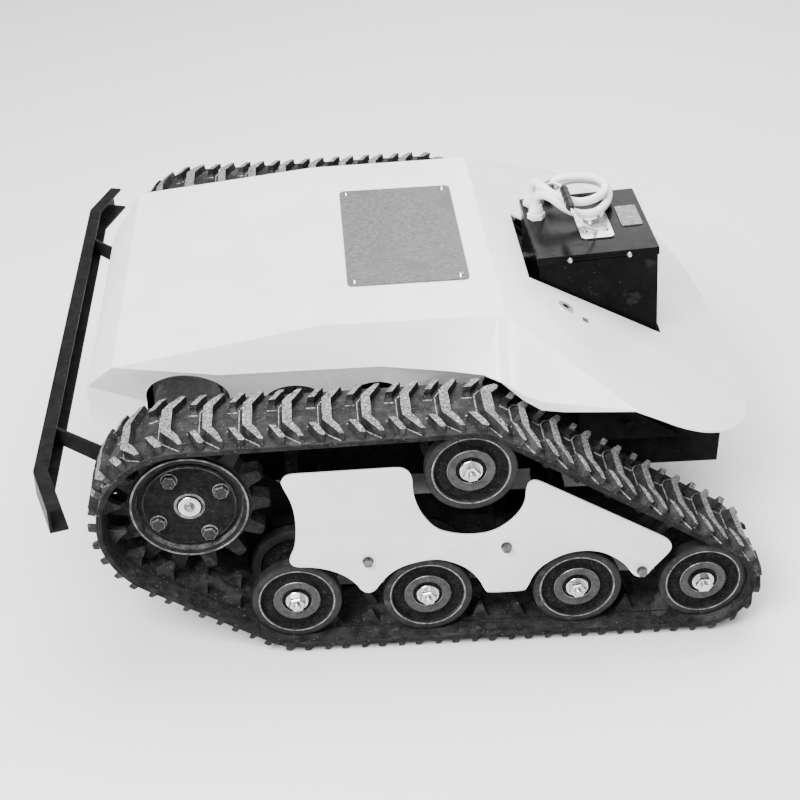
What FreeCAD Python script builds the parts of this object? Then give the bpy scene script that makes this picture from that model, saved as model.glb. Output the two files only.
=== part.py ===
import FreeCAD, Part
import math
import os

# Tracked robot chassis, millimetres. +X is forward, +Y is the machine's left, +Z is up.
# The origin is on the ground under the middle of the machine.
# Side pieces are built on the left (+Y) and mirrored to the right.

Vec = FreeCAD.Vector

# ---- driving dimensions ----
TRACK_Y = 434.0              # middle of each track
BELT_WIDTH = 144.0
BELT_THICK = 9.0
LUG_HEIGHT = 15.0
LUG_SPAN = 134.0             # lugs stop short of the belt's edges
LINKS = 40                   # long lugs round one track
GUIDE_HEIGHT = 25.0
GUIDE_INNER = 17.0           # guide rows run between these distances from the track's middle
GUIDE_OUTER = 31.0
BELT_GAP = 0.4               # running gap between the belt and each wheel

WHEEL_R = 71.5
WHEEL_Z = WHEEL_R + BELT_GAP + BELT_THICK + LUG_HEIGHT
ROAD_WHEEL_X = (-195.5, 12.5, 252.0)
IDLER_X = 456.0
ROLLER_X, ROLLER_Z = 77.5, 332.0
TYRE_WIDTH = 22.0
TYRE_DEPTH = 12.5
WHEEL_OUT = TRACK_Y + 55.0   # outer face of a wheel
WHEEL_IN = TRACK_Y - 55.0
AXLE_R = 12.0
RUN_FIT = 0.05               # radial clearance of a turning fit

SPROCKET_X, SPROCKET_Z = -353.5, 263.0
SPROCKET_TEETH = 14
SPROCKET_TIP_R = 125.0
SPROCKET_ROOT_R = 97.0
SPROCKET_BELT_R = 129.0      # the belt's inner face round the sprocket
SHAFT_R = 15.0
MOTOR_Z = 350.0

HULL_SHEET = 3.0
WALL_Y = 266.0               # lower side walls of the white cover
WALL_BOTTOM = 262.0
REAR_X = -515.5
CREASE_X, CREASE_HALF, CREASE_Z = 148.5, 303.0, 496.0   # where the top meets the nose panel
NOSE_SLOPE = 0.51
NOSE_CORNER = (335.5, 446.0)
NOSE_FRONT_X = 581.5
NOSE_ARC_X, NOSE_ARC_Y = 380.0, 150.0                   # centre of the nose's rounded corner
TOP_SLOPE = 8.0 / 286.0
TOP_REF_X = -137.5

TUB_HALF = 262.0
TUB_BOTTOM, TUB_TOP = 172.0, 300.0
TUB_REAR, TUB_FRONT = -478.0, 526.0
TUB_SHEET = 4.0

BEAM_IN, BEAM_OUT = 312.0, 377.0
BEAM_Z0, BEAM_Z1 = 85.0, 167.0
BEAM_WALL = 5.0
BEAM_X0, BEAM_X1 = -231.0, 400.0

COVER_Y = 504.0              # inner face of each white side plate
COVER_SHEET = 3.0

BUMPER_X = -581.5
BUMPER_BEND_Y = 453.0
BUMPER_TIP = (-549.0, 555.0)
BUMPER_Z0, BUMPER_Z1 = 302.0, 345.0

BOX_PITCH = 3.88             # the control box leans back by this many degrees
BOX_CORNER_X, BOX_CORNER_Z = 226.5, 494.0
BOX_LENGTH, BOX_HALF, BOX_HEIGHT = 204.5, 116.5, 176.0
BOX_SHEET = 2.0
LID_LIP = 14.0

CONDUIT_R = 7.5
WIRE_R = 2.0
CONDUIT_1_ROUTE = [
    (244.3, 37, 519.3), (243.6, 37, 529.3), (246.5, 32.5, 539), (254, 23.5, 545),
    (266, 14.5, 543.5), (279, 7, 534), (295, 0.5, 525), (313, -4, 519), (334, -3, 517),
    (356, 14, 518.5), (373, 46, 519), (381, 84, 521.5), (372, 114, 522), (352, 132, 520),
    (328, 138, 519), (304, 134, 515.5), (285, 119, 511.5),
]
CONDUIT_2_ROUTE = [
    (244.3, 90, 519.3), (243.6, 90, 529.5), (245, 83.5, 539.5), (249.5, 71, 545.5),
    (256, 56, 546), (265, 43, 542.5), (278, 31, 538), (295, 20, 535), (314, 13, 533),
    (335, 15, 534.5), (355, 29, 536), (370, 53, 540), (367, 77, 542), (349, 92, 544),
    (325, 99, 542.5), (302, 103, 540), (285, 101, 534.5), (271.7, 94, 526),
]
WIRE_ROUTE = [
    (274.4, 110.1, 509.6), (266, 103, 508.5), (258, 91, 514), (260, 79, 528), (267, 66, 546),
    (277, 46, 557.5), (288.6, 26, 556.6), (289.4, -18, 553.8), (289.6, -52, 553.2),
    (297, -68, 543.5), (309, -71, 532), (322, -64, 521), (331, -54, 513), (334.9, -45.5, 509.6),
]
SLEEVE_FROM, SLEEVE_TO = (288.7, 24, 556), (289.5, -52, 553)
SLEEVE_R, SLEEVE_BORE_R = 7.6, 4.6
BOOT_R, BOOT_LENGTH = 8.2, 14.0

os.makedirs("parts", exist_ok=True)


# ---- small helpers ----
def box(x0, x1, y0, y1, z0, z1):
    return Part.makeBox(x1 - x0, y1 - y0, z1 - z0, Vec(x0, y0, z0))


def y_cylinder(x, z, y0, y1, radius):
    return Part.makeCylinder(radius, y1 - y0, Vec(x, y0, z), Vec(0, 1, 0))


def y_ring(x, z, y0, y1, outer, inner):
    return y_cylinder(x, z, y0, y1, outer).cut(y_cylinder(x, z, y0 - 1, y1 + 1, inner))


def y_hexagon(x, z, y0, y1, across_flats):
    corner = across_flats / math.sqrt(3)
    points = [Vec(x + corner * math.cos(math.radians(60 * i)), y0,
                  z + corner * math.sin(math.radians(60 * i))) for i in range(7)]
    return Part.Face(Part.makePolygon(points)).extrude(Vec(0, y1 - y0, 0))


def xz_plate(points, y0, y1):
    outline = [Vec(x, y0, z) for x, z in points]
    return Part.Face(Part.makePolygon(outline + outline[:1])).extrude(Vec(0, y1 - y0, 0))


def fuse(shapes):
    return shapes[0].multiFuse(shapes[1:]) if len(shapes) > 1 else shapes[0]


def mirrored(shape):
    return shape.mirror(Vec(0, 0, 0), Vec(0, 1, 0))


def save(name, shape):
    if not shape.isValid():
        print("not valid:", name)
    shape.exportStep("parts/%s.step" % name)
    print(name, "solids", len(shape.Solids), "volume", round(shape.Volume))


def save_pair(name, left_shape):
    save("left_" + name, left_shape)
    save("right_" + name, mirrored(left_shape))


def both_sides(shapes):
    return Part.makeCompound(shapes + [mirrored(shape) for shape in shapes])


# ---- track path ----
def track_circles(offset):
    return [
        (SPROCKET_X, SPROCKET_Z, SPROCKET_BELT_R + offset),
        (ROLLER_X, ROLLER_Z, WHEEL_R + BELT_GAP + offset),
        (IDLER_X, WHEEL_Z, WHEEL_R + BELT_GAP + offset),
        (ROAD_WHEEL_X[0], WHEEL_Z, WHEEL_R + BELT_GAP + offset),
    ]


def tangent_normal(first, second):
    """Outward unit normal of the straight run from one circle to the next."""
    dx, dz = second[0] - first[0], second[1] - first[1]
    dist = math.hypot(dx, dz)
    dx, dz = dx / dist, dz / dist
    along = (first[2] - second[2]) / dist
    out = math.sqrt(1 - along * along)
    return dx * along - dz * out, dz * along + dx * out


def track_runs(offset):
    """Each run is ('line', start, end) or ('arc', circle, angle at start, turn), clockwise."""
    circles = track_circles(offset)
    normals = [tangent_normal(c, circles[(i + 1) % 4]) for i, c in enumerate(circles)]
    runs = []
    for i, circle in enumerate(circles):
        nxt = circles[(i + 1) % 4]
        nx, nz = normals[i]
        start = (circle[0] + nx * circle[2], circle[1] + nz * circle[2])
        end = (nxt[0] + nx * nxt[2], nxt[1] + nz * nxt[2])
        runs.append(("line", start, end))
        a0 = math.atan2(nz, nx)
        a1 = math.atan2(normals[(i + 1) % 4][1], normals[(i + 1) % 4][0])
        runs.append(("arc", nxt, a0, (a0 - a1) % (2 * math.pi)))
    return runs


def run_length(run):
    if run[0] == "line":
        return math.dist(run[1], run[2])
    return run[1][2] * run[3]


def track_station(distance, offset):
    """Point on the path and its forward and outward directions, at a distance along it."""
    for run in track_runs(offset):
        length = run_length(run)
        if distance <= length:
            part = distance / length
            if run[0] == "line":
                (x0, z0), (x1, z1) = run[1], run[2]
                ux, uz = (x1 - x0) / length, (z1 - z0) / length
                return (x0 + (x1 - x0) * part, z0 + (z1 - z0) * part), (ux, uz), (-uz, ux)
            circle, angle = run[1], run[2] - run[3] * part
            nx, nz = math.cos(angle), math.sin(angle)
            point = (circle[0] + circle[2] * nx, circle[1] + circle[2] * nz)
            return point, (nz, -nx), (nx, nz)
        distance -= length
    raise ValueError("beyond the end of the track")


def loop_face(offset, y):
    edges = []
    for run in track_runs(offset):
        if run[0] == "line":
            (x0, z0), (x1, z1) = run[1], run[2]
            edges.append(Part.LineSegment(Vec(x0, y, z0), Vec(x1, y, z1)).toShape())
        else:
            (cx, cz, radius), start, turn = run[1], run[2], run[3]
            points = [Vec(cx + radius * math.cos(start - turn * k / 2), y,
                          cz + radius * math.sin(start - turn * k / 2)) for k in range(3)]
            edges.append(Part.Arc(*points).toShape())
    return Part.Face(Part.Wire(edges))


NEUTRAL = BELT_THICK / 2
TRACK_LENGTH = sum(run_length(run) for run in track_runs(NEUTRAL))
PITCH = TRACK_LENGTH / LINKS
FIRST_LUG = 50.0             # from the sprocket's top tangent point to the first long lug


def station_block(outline, distance, low, high):
    """A prism whose outline is (along, across) at a station, between two heights off the belt."""
    distance = distance % TRACK_LENGTH
    (px, pz), (ux, uz), (nx, nz) = track_station(distance, NEUTRAL)
    base = low - NEUTRAL
    points = [Vec(px + ux * u + nx * base, TRACK_Y + v, pz + uz * u + nz * base)
              for u, v in outline]
    face = Part.Face(Part.makePolygon(points + points[:1]))
    rise = high - low
    return face.extrude(Vec(nx * rise, 0, nz * rise))


def guide_lug(distance, side):
    """A triangular tooth on the belt's inner face, rooted inside the belt."""
    (px, pz), (ux, uz), (nx, nz) = track_station(distance % TRACK_LENGTH, NEUTRAL)
    profile = [(-17, -2), (17, -2), (4, -GUIDE_HEIGHT - NEUTRAL), (-4, -GUIDE_HEIGHT - NEUTRAL)]
    y0 = TRACK_Y + (GUIDE_INNER if side > 0 else -GUIDE_OUTER)
    points = [Vec(px + ux * u + nx * n, y0, pz + uz * u + nz * n) for u, n in profile]
    face = Part.Face(Part.makePolygon(points + points[:1]))
    return face.extrude(Vec(0, GUIDE_OUTER - GUIDE_INNER, 0))


BELT_SECTIONS = 20            # touching stretches of the belt, two links each
LINK_END = 20.7               # from a long lug to the plain strip where its link ends
WEDGE_REACH = 12.0            # how far a cutting wedge reaches to each side of the neutral line
WEDGE_STEPS = 6


def belt_wedge(start, end):
    """A prism round one stretch of the belt, between two cross-cuts."""
    outer, inner = [], []
    y0 = TRACK_Y - BELT_WIDTH / 2 - 1
    for k in range(WEDGE_STEPS + 1):
        distance = start + (end - start) * k / WEDGE_STEPS
        (px, pz), _, (nx, nz) = track_station(distance % TRACK_LENGTH, NEUTRAL)
        outer.append(Vec(px + nx * WEDGE_REACH, y0, pz + nz * WEDGE_REACH))
        inner.append(Vec(px - nx * WEDGE_REACH, y0, pz - nz * WEDGE_REACH))
    outline = outer + inner[::-1]
    return Part.Face(Part.makePolygon(outline + outline[:1])).extrude(Vec(0, BELT_WIDTH + 2, 0))


def link_lugs(at):
    """A link's long lug, its guide lugs, and the two short bars in front of it."""
    half = LUG_SPAN / 2
    chevron = [(-16, -31), (-16, 31), (3, half), (14, half), (-2, 28), (-2, -28),
               (14, -half), (3, -half)]
    bar = [(-7, 35), (7, half), (17, half), (4, 35)]
    low, high = BELT_THICK - 3, BELT_THICK + LUG_HEIGHT
    lugs = [station_block(chevron, at, low, high)]
    for side in (-1, 1):
        across = [(u, v * side) for u, v in bar]
        lugs.append(station_block(across, at - PITCH / 2, low, high))
        lugs.append(guide_lug(at, side))
    return lugs


def make_track():
    """The belt as touching sections of two links, cut where no lug stands."""
    y0 = TRACK_Y - BELT_WIDTH / 2
    belt = loop_face(BELT_THICK, y0).cut(loop_face(0, y0)).extrude(Vec(0, BELT_WIDTH, 0))
    per_section = LINKS // BELT_SECTIONS
    sections = []
    for k in range(BELT_SECTIONS):
        stations = [FIRST_LUG + (k * per_section + i) * PITCH for i in range(per_section)]
        end = stations[-1] + LINK_END
        stretch = belt.common(belt_wedge(end - per_section * PITCH, end))
        sections.append(stretch.multiFuse([lug for at in stations for lug in link_lugs(at)]))
    return Part.makeCompound([solid for section in sections for solid in section.Solids])


# ---- wheels and sprocket ----
RIM_THICK = 4.0
WEB_THICK = 8.0
BOSS_R = 36.5
BOSS_DEPTH = 13.0             # from the wheel's face to the back of a disc's boss
HUB_TUBE_R = 30.0
WASHER_RECESS_R = 23.0
STUB_R = 6.0                  # threaded end of an axle


def make_wheel_rim(x, z):
    """Two spun discs with deep webs and bosses, and the hub tube pressed between the bosses."""
    rim_r = WHEEL_R - TYRE_DEPTH
    bore = y_cylinder(x, z, WHEEL_IN - 1, WHEEL_OUT + 1, AXLE_R + RUN_FIT)
    discs = []
    for rim0, web0, boss0 in ((WHEEL_IN, WHEEL_IN + 5, WHEEL_IN + 1),
                              (WHEEL_OUT - TYRE_WIDTH, WHEEL_OUT - BOSS_DEPTH, WHEEL_OUT - BOSS_DEPTH)):
        disc = fuse([y_ring(x, z, rim0, rim0 + TYRE_WIDTH, rim_r, rim_r - RIM_THICK),
                     y_cylinder(x, z, web0, web0 + WEB_THICK, rim_r - RIM_THICK / 2),
                     y_cylinder(x, z, boss0, boss0 + BOSS_DEPTH - 1, BOSS_R)])
        discs.append(disc.cut(bore))
    discs[1] = discs[1].cut(y_cylinder(x, z, WHEEL_OUT - 4, WHEEL_OUT, WASHER_RECESS_R))
    tube = y_cylinder(x, z, WHEEL_IN + BOSS_DEPTH, WHEEL_OUT - BOSS_DEPTH, HUB_TUBE_R).cut(bore)
    return Part.makeCompound(discs + [tube])


def make_tyre(x, z):
    rim_r = WHEEL_R - TYRE_DEPTH
    rings = [y_ring(x, z, y0, y0 + TYRE_WIDTH, WHEEL_R, rim_r)
             for y0 in (WHEEL_IN, WHEEL_OUT - TYRE_WIDTH)]
    return Part.makeCompound(rings)


def make_axle(x, z, root_y):
    stub = y_cylinder(x, z, WHEEL_OUT, WHEEL_OUT + 17, STUB_R)
    journal = y_cylinder(x, z, root_y, WHEEL_OUT - 3, AXLE_R)
    washer = y_cylinder(x, z, WHEEL_OUT - 3, WHEEL_OUT, 17.5)
    nut = y_hexagon(x, z, WHEEL_OUT, WHEEL_OUT + 11, 24.0)
    return fuse([journal, stub, washer, nut])


def make_sprocket_ring():
    tooth_count_angle = 2 * math.pi / SPROCKET_TEETH
    points = []
    for i in range(SPROCKET_TEETH):
        middle = i * tooth_count_angle
        for radius, share in ((SPROCKET_ROOT_R, -0.30), (SPROCKET_TIP_R, -0.15),
                              (SPROCKET_TIP_R, 0.15), (SPROCKET_ROOT_R, 0.30)):
            angle = middle + share * tooth_count_angle
            points.append((SPROCKET_X + radius * math.cos(angle),
                           SPROCKET_Z + radius * math.sin(angle)))
    teeth = xz_plate(points, TRACK_Y - 14, TRACK_Y + 14)
    rim = y_cylinder(SPROCKET_X, SPROCKET_Z, TRACK_Y + 14, TRACK_Y + 20, 92.5)
    ring = fuse([teeth, rim])
    ring = ring.cut(y_cylinder(SPROCKET_X, SPROCKET_Z, TRACK_Y + 6, TRACK_Y + 30, 82.0))
    ring = ring.cut(y_cylinder(SPROCKET_X, SPROCKET_Z, TRACK_Y - 30, TRACK_Y + 30, 40.0))
    return ring.cut(fuse(bolt_circle(TRACK_Y - 20, TRACK_Y + 20, 8.0)))


def bolt_circle(y0, y1, radius):
    shapes = []
    for k in range(4):
        angle = math.radians(29 + 90 * k)
        shapes.append(y_cylinder(SPROCKET_X + 57 * math.cos(angle),
                                 SPROCKET_Z + 57 * math.sin(angle), y0, y1, radius))
    return shapes


def make_drive_hub():
    """Flanged drive shaft: it turns in the gearbox and in the bearing of the side frame."""
    flange = y_cylinder(SPROCKET_X, SPROCKET_Z, TRACK_Y + 6, TRACK_Y + 14, 72.0)
    pilot = y_cylinder(SPROCKET_X, SPROCKET_Z, TRACK_Y - 24, TRACK_Y + 7, 39.8)
    shaft = y_cylinder(SPROCKET_X, SPROCKET_Z, 215, TRACK_Y + 8, SHAFT_R)
    cap = y_cylinder(SPROCKET_X, SPROCKET_Z, TRACK_Y + 14, TRACK_Y + 18, 18.0)
    nut = y_hexagon(SPROCKET_X, SPROCKET_Z, TRACK_Y + 18, TRACK_Y + 24, 15.0)
    hub = fuse([flange, pilot, shaft, cap, nut])
    return hub.cut(fuse(bolt_circle(TRACK_Y - 10, TRACK_Y + 20, 8.0)))


def make_sprocket_bolts():
    bolts = []
    for k, shank in enumerate(bolt_circle(TRACK_Y - 20, TRACK_Y + 15, 8.0)):
        angle = math.radians(29 + 90 * k)
        x = SPROCKET_X + 57 * math.cos(angle)
        z = SPROCKET_Z + 57 * math.sin(angle)
        head = y_hexagon(x, z, TRACK_Y + 14, TRACK_Y + 24, 24.0)
        nut = y_hexagon(x, z, TRACK_Y - 26, TRACK_Y - 14, 24.0)
        bolts.append(fuse([shank, head, nut]))
    return Part.makeCompound(bolts)


# ---- side frame, tensioner and side plate ----
COVER_BOLTS = ((-82.5, 185.0), (132.5, 200.0), (349.5, 139.0))


def make_side_frame():
    beam = box(BEAM_X0, BEAM_X1, BEAM_IN, BEAM_OUT, BEAM_Z0, BEAM_Z1)
    hollow = box(BEAM_X0 + 60, BEAM_X1 + 1, BEAM_IN + BEAM_WALL, BEAM_OUT - BEAM_WALL,
                 BEAM_Z0 + BEAM_WALL, BEAM_Z1 - BEAM_WALL)
    rear_plate = xz_plate([(-262, 24), (-205, 24), (-190, 85), (-150, 90), (-150, 160),
                           (-322, 305), (-392, 300), (-478, 290), (-478, 196), (-440, 146),
                           (-330, 66)], 332, 346)
    bearing = y_cylinder(SPROCKET_X, SPROCKET_Z, 326, 372, 38.0)
    post = xz_plate([(40, 160), (115, 160), (104, 350), (51, 350)], 346, 360)
    pieces = [beam, rear_plate, bearing, post]
    for x in (-150.0, 60.0, 230.0):
        pieces.append(box(x - 25, x + 25, TUB_HALF, 330, BEAM_Z1 - 8, BEAM_Z1 + 8))
        pieces.append(box(x - 25, x + 25, TUB_HALF, TUB_HALF + 8, BEAM_Z1 - 8, BEAM_Z1 + 73))
        pieces.append(xz_plate([(x - 4, BEAM_Z1), (x + 4, BEAM_Z1), (x + 4, BEAM_Z1 + 60),
                                (x - 4, BEAM_Z1 + 60)], TUB_HALF, 320))
    pieces.append(xz_plate([(-205, 160), (-185, 160), (-185, 322), (-205, 322)], 346, 352))
    pieces.append(Part.makeCylinder(7.0, 94, Vec(-198, 364, 312), Vec(94, 0, 10)))
    pieces.append(box(-204, -186, 350, 374, 302, 322))
    for x, z in COVER_BOLTS:
        if z > BEAM_Z1:
            pieces.append(box(x - 14, x + 14, BEAM_OUT - 8, BEAM_OUT, BEAM_Z1 - 20, z + 14))
        pieces.append(y_cylinder(x, z, BEAM_OUT - 2, COVER_Y, 9.0))
    frame = fuse(pieces).cut(hollow)
    frame = frame.cut(y_cylinder(SPROCKET_X, SPROCKET_Z, 300, 400, SHAFT_R + RUN_FIT))
    for x in ROAD_WHEEL_X:
        frame = frame.cut(y_cylinder(x, WHEEL_Z, BEAM_IN - 5, BEAM_OUT + 5, AXLE_R))
    frame = frame.cut(y_cylinder(ROLLER_X, ROLLER_Z, 340, 365, AXLE_R))
    for x, z in COVER_BOLTS:
        frame = frame.cut(y_cylinder(x, z, COVER_Y - 30, COVER_Y + 1, 5.0))
    return frame


def make_idler_carriage():
    gap = BEAM_WALL + 0.5
    slider = box(300, IDLER_X + 38, BEAM_IN + gap, BEAM_OUT - gap, BEAM_Z0 + gap, BEAM_Z1 - gap)
    corner = box(IDLER_X - 1, IDLER_X + 39, 300, 400, BEAM_Z0 + 52, BEAM_Z1)
    return fuse([slider.cut(corner), make_axle(IDLER_X, WHEEL_Z, BEAM_OUT - gap - 20)])


def make_tension_rod():
    z = (BEAM_Z0 + BEAM_Z1) / 2
    y = (BEAM_IN + BEAM_OUT) / 2
    rod = Part.makeCylinder(9.0, 440, Vec(-171, y, z), Vec(1, 0, 0))
    grease_body = Part.makeCylinder(20.0, 120, Vec(-171, y, z), Vec(1, 0, 0))
    return fuse([rod, grease_body])


def make_side_cover():
    """White plate with scallops round the wheels and two tops bent in at a shallow angle."""
    outline = [(-211, 338), (-202, 349), (-27, 352), (-13, 341), (-13, 311), (-3, 276),
               (20, 242), (43, 231), (77, 225), (111, 229), (139, 249), (157, 275), (161, 306),
               (166, 315), (178, 317), (387, 198), (394, 186), (392, 174), (366, 142),
               (358, 128), (347, 125), (336, 131), (323, 152), (302, 170), (281, 181),
               (256, 185), (226, 181), (196, 164), (178, 144), (168, 115), (161, 107),
               (108, 107), (101, 115), (92, 137), (74, 160), (47, 176), (20, 183),
               (-21, 175), (-46, 161), (-64, 139), (-71, 126), (-83, 120), (-94, 127),
               (-102, 142), (-120, 159), (-145, 172), (-170, 178), (-194, 179), (-203, 187),
               (-203, 198), (-194, 218), (-191, 250), (-192, 283), (-198, 309), (-208, 331)]
    plate = xz_plate(outline, COVER_Y, COVER_Y + COVER_SHEET)
    for x, z in COVER_BOLTS:
        plate = plate.cut(y_cylinder(x, z, COVER_Y - 1, COVER_Y + 9, 5.0))
    plate = fold(plate, (-220, 319), (0, 319), 22.0)
    plate = fold(plate, (150, 289), (420, 173), 22.0)
    return fold(plate, (180, 116), (90, 116), 40.0)


def fold(plate, start, end, degrees):
    """Bends inwards what lies on the left of a line in the plate, looking along -Y."""
    length = math.dist(start, end)
    ux, uz = (end[0] - start[0]) / length, (end[1] - start[1]) / length
    corners = [start, end, (end[0] - uz * 60, end[1] + ux * 60),
               (start[0] - uz * 60, start[1] + ux * 60)]
    tool = xz_plate(corners, COVER_Y - 1, COVER_Y + 9)
    flap = plate.common(tool)
    flap.rotate(Vec(start[0], COVER_Y + COVER_SHEET / 2, start[1]), Vec(ux, 0, uz), degrees)
    return fuse([plate.cut(tool), flap])


def make_cover_bolt(x, z):
    shank = y_cylinder(x, z, COVER_Y - 29, COVER_Y + 4, 5.0)
    washer = y_cylinder(x, z, COVER_Y + COVER_SHEET, COVER_Y + COVER_SHEET + 2, 8.5)
    head = y_hexagon(x, z, COVER_Y + COVER_SHEET + 1.9, COVER_Y + COVER_SHEET + 8.5, 13.0)
    return fuse([shank, washer, head])


# ---- white hull cover ----
# Belt line: the lower edge of the upper side facet, from the rear corner to the nose corner.
BELT_LINE = [(-465.5, 317, 438.5), (-300.5, 317, 417), (-47.5, 318, 421), (60.5, 342, 421),
             (112.5, 358, 421), (135.5, 374, 418), (165.5, 406, 412), (193.5, 416, 405),
             (228.5, 421, 402), (335.5, 446, 400.6)]
TOP_EDGE = [(-465.5, 317, 438.5), (TOP_REF_X, 298, 488), (CREASE_X, CREASE_HALF, CREASE_Z),
            (335.5, 446, 400.6)]
LOW_CREASE = [(-515.5, WALL_Y, 375), (-389.5, WALL_Y, 330), (112.5, WALL_Y, 330)]
SKIRT_START = 112.5


def along(line, x):
    """Half-width and height of a bent line at a station x."""
    for (x0, y0, z0), (x1, y1, z1) in zip(line, line[1:]):
        if x <= x1:
            part = (x - x0) / (x1 - x0)
            return y0 + (y1 - y0) * part, z0 + (z1 - z0) * part
    return line[-1][1:]


def polyhedron(stations):
    """A closed solid through half-sections of equal length, mirrored about the XZ plane."""
    rings = []
    for x, half in stations:
        ring = [Vec(x, y, z) for y, z in half] + [Vec(x, -y, z) for y, z in reversed(half)]
        rings.append(ring)
    faces = []

    def add(*corners):
        kept = []
        for corner in corners:
            if all(corner.distanceToPoint(other) > 0.01 for other in kept):
                kept.append(corner)
        if len(kept) > 2:
            faces.append(Part.Face(Part.makePolygon(kept + kept[:1])))

    for first, second in zip(rings, rings[1:]):
        count = len(first)
        for i in range(count):
            j = (i + 1) % count
            if i == count // 2 - 1 or j == 0:
                add(first[i], first[j], second[j], second[i])
            elif i < count // 2:
                add(first[i], first[j], second[i])
                add(first[j], second[j], second[i])
            else:
                add(first[i], first[j], second[j])
                add(first[i], second[j], second[i])
    add(*rings[0])
    add(*rings[-1])
    shell = Part.makeShell(faces)
    shell.sewShape()
    solid = Part.makeSolid(shell)
    return solid if solid.Volume > 0 else solid.reversed()


def body_section(x, inset):
    top, belt, crease = along(TOP_EDGE, x), along(BELT_LINE, x), along(LOW_CREASE, x)
    bottom = WALL_BOTTOM - (20 if inset else 0)
    t = inset
    return (x, [(top[0] - t, top[1] - 1.2 * t), (belt[0] - 1.8 * t, belt[1] - 0.4 * t),
                (crease[0] - t, crease[1]), (crease[0] - t, bottom)])


def skirt_section(x, inset):
    top, belt = along(TOP_EDGE, x), along(BELT_LINE, x)
    lip = 2.0 + 14.0 * max(0.0, min(1.0, (x - 135.0) / 60.0, (NOSE_CORNER[0] - x) / 120.0))
    t = inset
    low = belt[1] - (lip if not inset else 60)
    return (x, [(top[0] - 1.5 * t, top[1] - 1.2 * t), (belt[0] - 2.2 * t, belt[1] - 1.1 * t),
                (belt[0] - 2.2 * t, low)])


def nose_z(x):
    return CREASE_Z - NOSE_SLOPE * (x - CREASE_X)


def nose_panel():
    """Sloped flat panel from the top crease to the rounded nose edge."""
    a, b = NOSE_FRONT_X - NOSE_ARC_X, 441.0 - NOSE_ARC_Y

    def rim(angle, side):
        x = NOSE_ARC_X + a * math.sin(angle)
        return Vec(x, side * (NOSE_ARC_Y + b * math.cos(angle)), nose_z(x))

    def corner(x, y):
        return Vec(x, y, nose_z(x))

    angles = [math.pi / 2 * k / 8 for k in range(9)]
    right = [rim(angle, -1) for angle in angles]
    left = [rim(angle, 1) for angle in reversed(angles)]
    start = corner(CREASE_X + 0.5, -CREASE_HALF)
    curve_right = Part.BSplineCurve()
    curve_right.interpolate(right)
    curve_left = Part.BSplineCurve()
    curve_left.interpolate(left)
    wing_right, wing_left = corner(NOSE_CORNER[0], -446), corner(NOSE_CORNER[0], 446)
    end = corner(CREASE_X + 0.5, CREASE_HALF)
    edges = [Part.LineSegment(start, wing_right).toShape(),
             Part.LineSegment(wing_right, right[0]).toShape(), curve_right.toShape(),
             Part.LineSegment(right[-1], left[0]).toShape(), curve_left.toShape(),
             Part.LineSegment(left[-1], wing_left).toShape(),
             Part.LineSegment(wing_left, end).toShape(), Part.LineSegment(end, start).toShape()]
    face = Part.Face(Part.Wire(edges))
    length = math.hypot(1, NOSE_SLOPE)
    down = Vec(-NOSE_SLOPE / length, 0, -1 / length).multiply(HULL_SHEET)
    return face.extrude(down)


def make_hull_cover():
    sheet = HULL_SHEET
    rear_x = [-465.5, -389.5, -300.5, TOP_REF_X, -47.5, 60.5, SKIRT_START]
    flat = (WALL_Y, 375.0)
    outer = [(REAR_X, [flat, flat, flat, (WALL_Y, WALL_BOTTOM)])]
    outer += [body_section(x, 0) for x in rear_x]
    inner_flat = (WALL_Y - sheet, 372.0)
    inner = [(REAR_X + sheet, [inner_flat, inner_flat, inner_flat, (WALL_Y - sheet, 242.0)])]
    inner += [body_section(x, sheet) for x in rear_x[:-1]]
    end = body_section(SKIRT_START, sheet)
    inner += [end, (SKIRT_START + 5, end[1])]
    body = polyhedron(outer).cut(polyhedron(inner))
    skirt_x = [SKIRT_START, 135.5, CREASE_X, 165.5, 193.5, 228.5, 282.0]
    skirt_outer = [skirt_section(x, 0) for x in skirt_x] + [skirt_section(334.0, 0)]
    skirt_inner = [(SKIRT_START - 5, skirt_section(SKIRT_START, sheet)[1])]
    skirt_inner += [skirt_section(x, sheet) for x in skirt_x[1:]]
    skirt = polyhedron(skirt_outer).cut(polyhedron(skirt_inner))
    cover = fuse([body, skirt, nose_panel()])
    for side in (-1, 1):
        y0, y1 = (240, 340) if side > 0 else (-340, -240)
        arch = y_cylinder(-356, MOTOR_Z, y0, y1, 67.0)
        slot = box(-356 - 67, -356 + 67, y0, y1, WALL_BOTTOM - 5, MOTOR_Z)
        cover = cover.cut(arch).cut(slot)
        for x, radius in ((-186, 50.0), (-50, 62.0)):
            cover = cover.cut(y_cylinder(x, 377 - radius, y0, y1, radius))
    for k in range(5):
        y = -190 + 95 * k
        cover = cover.cut(box(REAR_X - 5, REAR_X + 8, y - 32, y + 32, 342, 348))
        cover = cover.cut(box(REAR_X - 5, REAR_X + 8, y - 32, y + 32, 326, 332))
    cover = cover.cut(box(212, 446, -122, 122, 250, 520))
    barrel = Part.makeCylinder(9.6, 80, Vec(0, 0, -40), Vec(0, 0, 1))
    return cover.cut(on_nose(barrel, *KEY_AT))


def on_nose(shape, x, y):
    """Moves a shape built at the origin onto the nose panel, its +Z along the panel's normal."""
    moved = shape.copy()
    moved.rotate(Vec(0, 0, 0), Vec(0, 1, 0), math.degrees(math.atan(NOSE_SLOPE)))
    moved.translate(Vec(x, y, nose_z(x)))
    return moved


def on_top(shape, x, y):
    moved = shape.copy()
    moved.rotate(Vec(0, 0, 0), Vec(0, 1, 0), -math.degrees(math.atan(TOP_SLOPE)))
    moved.translate(Vec(x, y, 488.0 + TOP_SLOPE * (x - TOP_REF_X)))
    return moved


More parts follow.
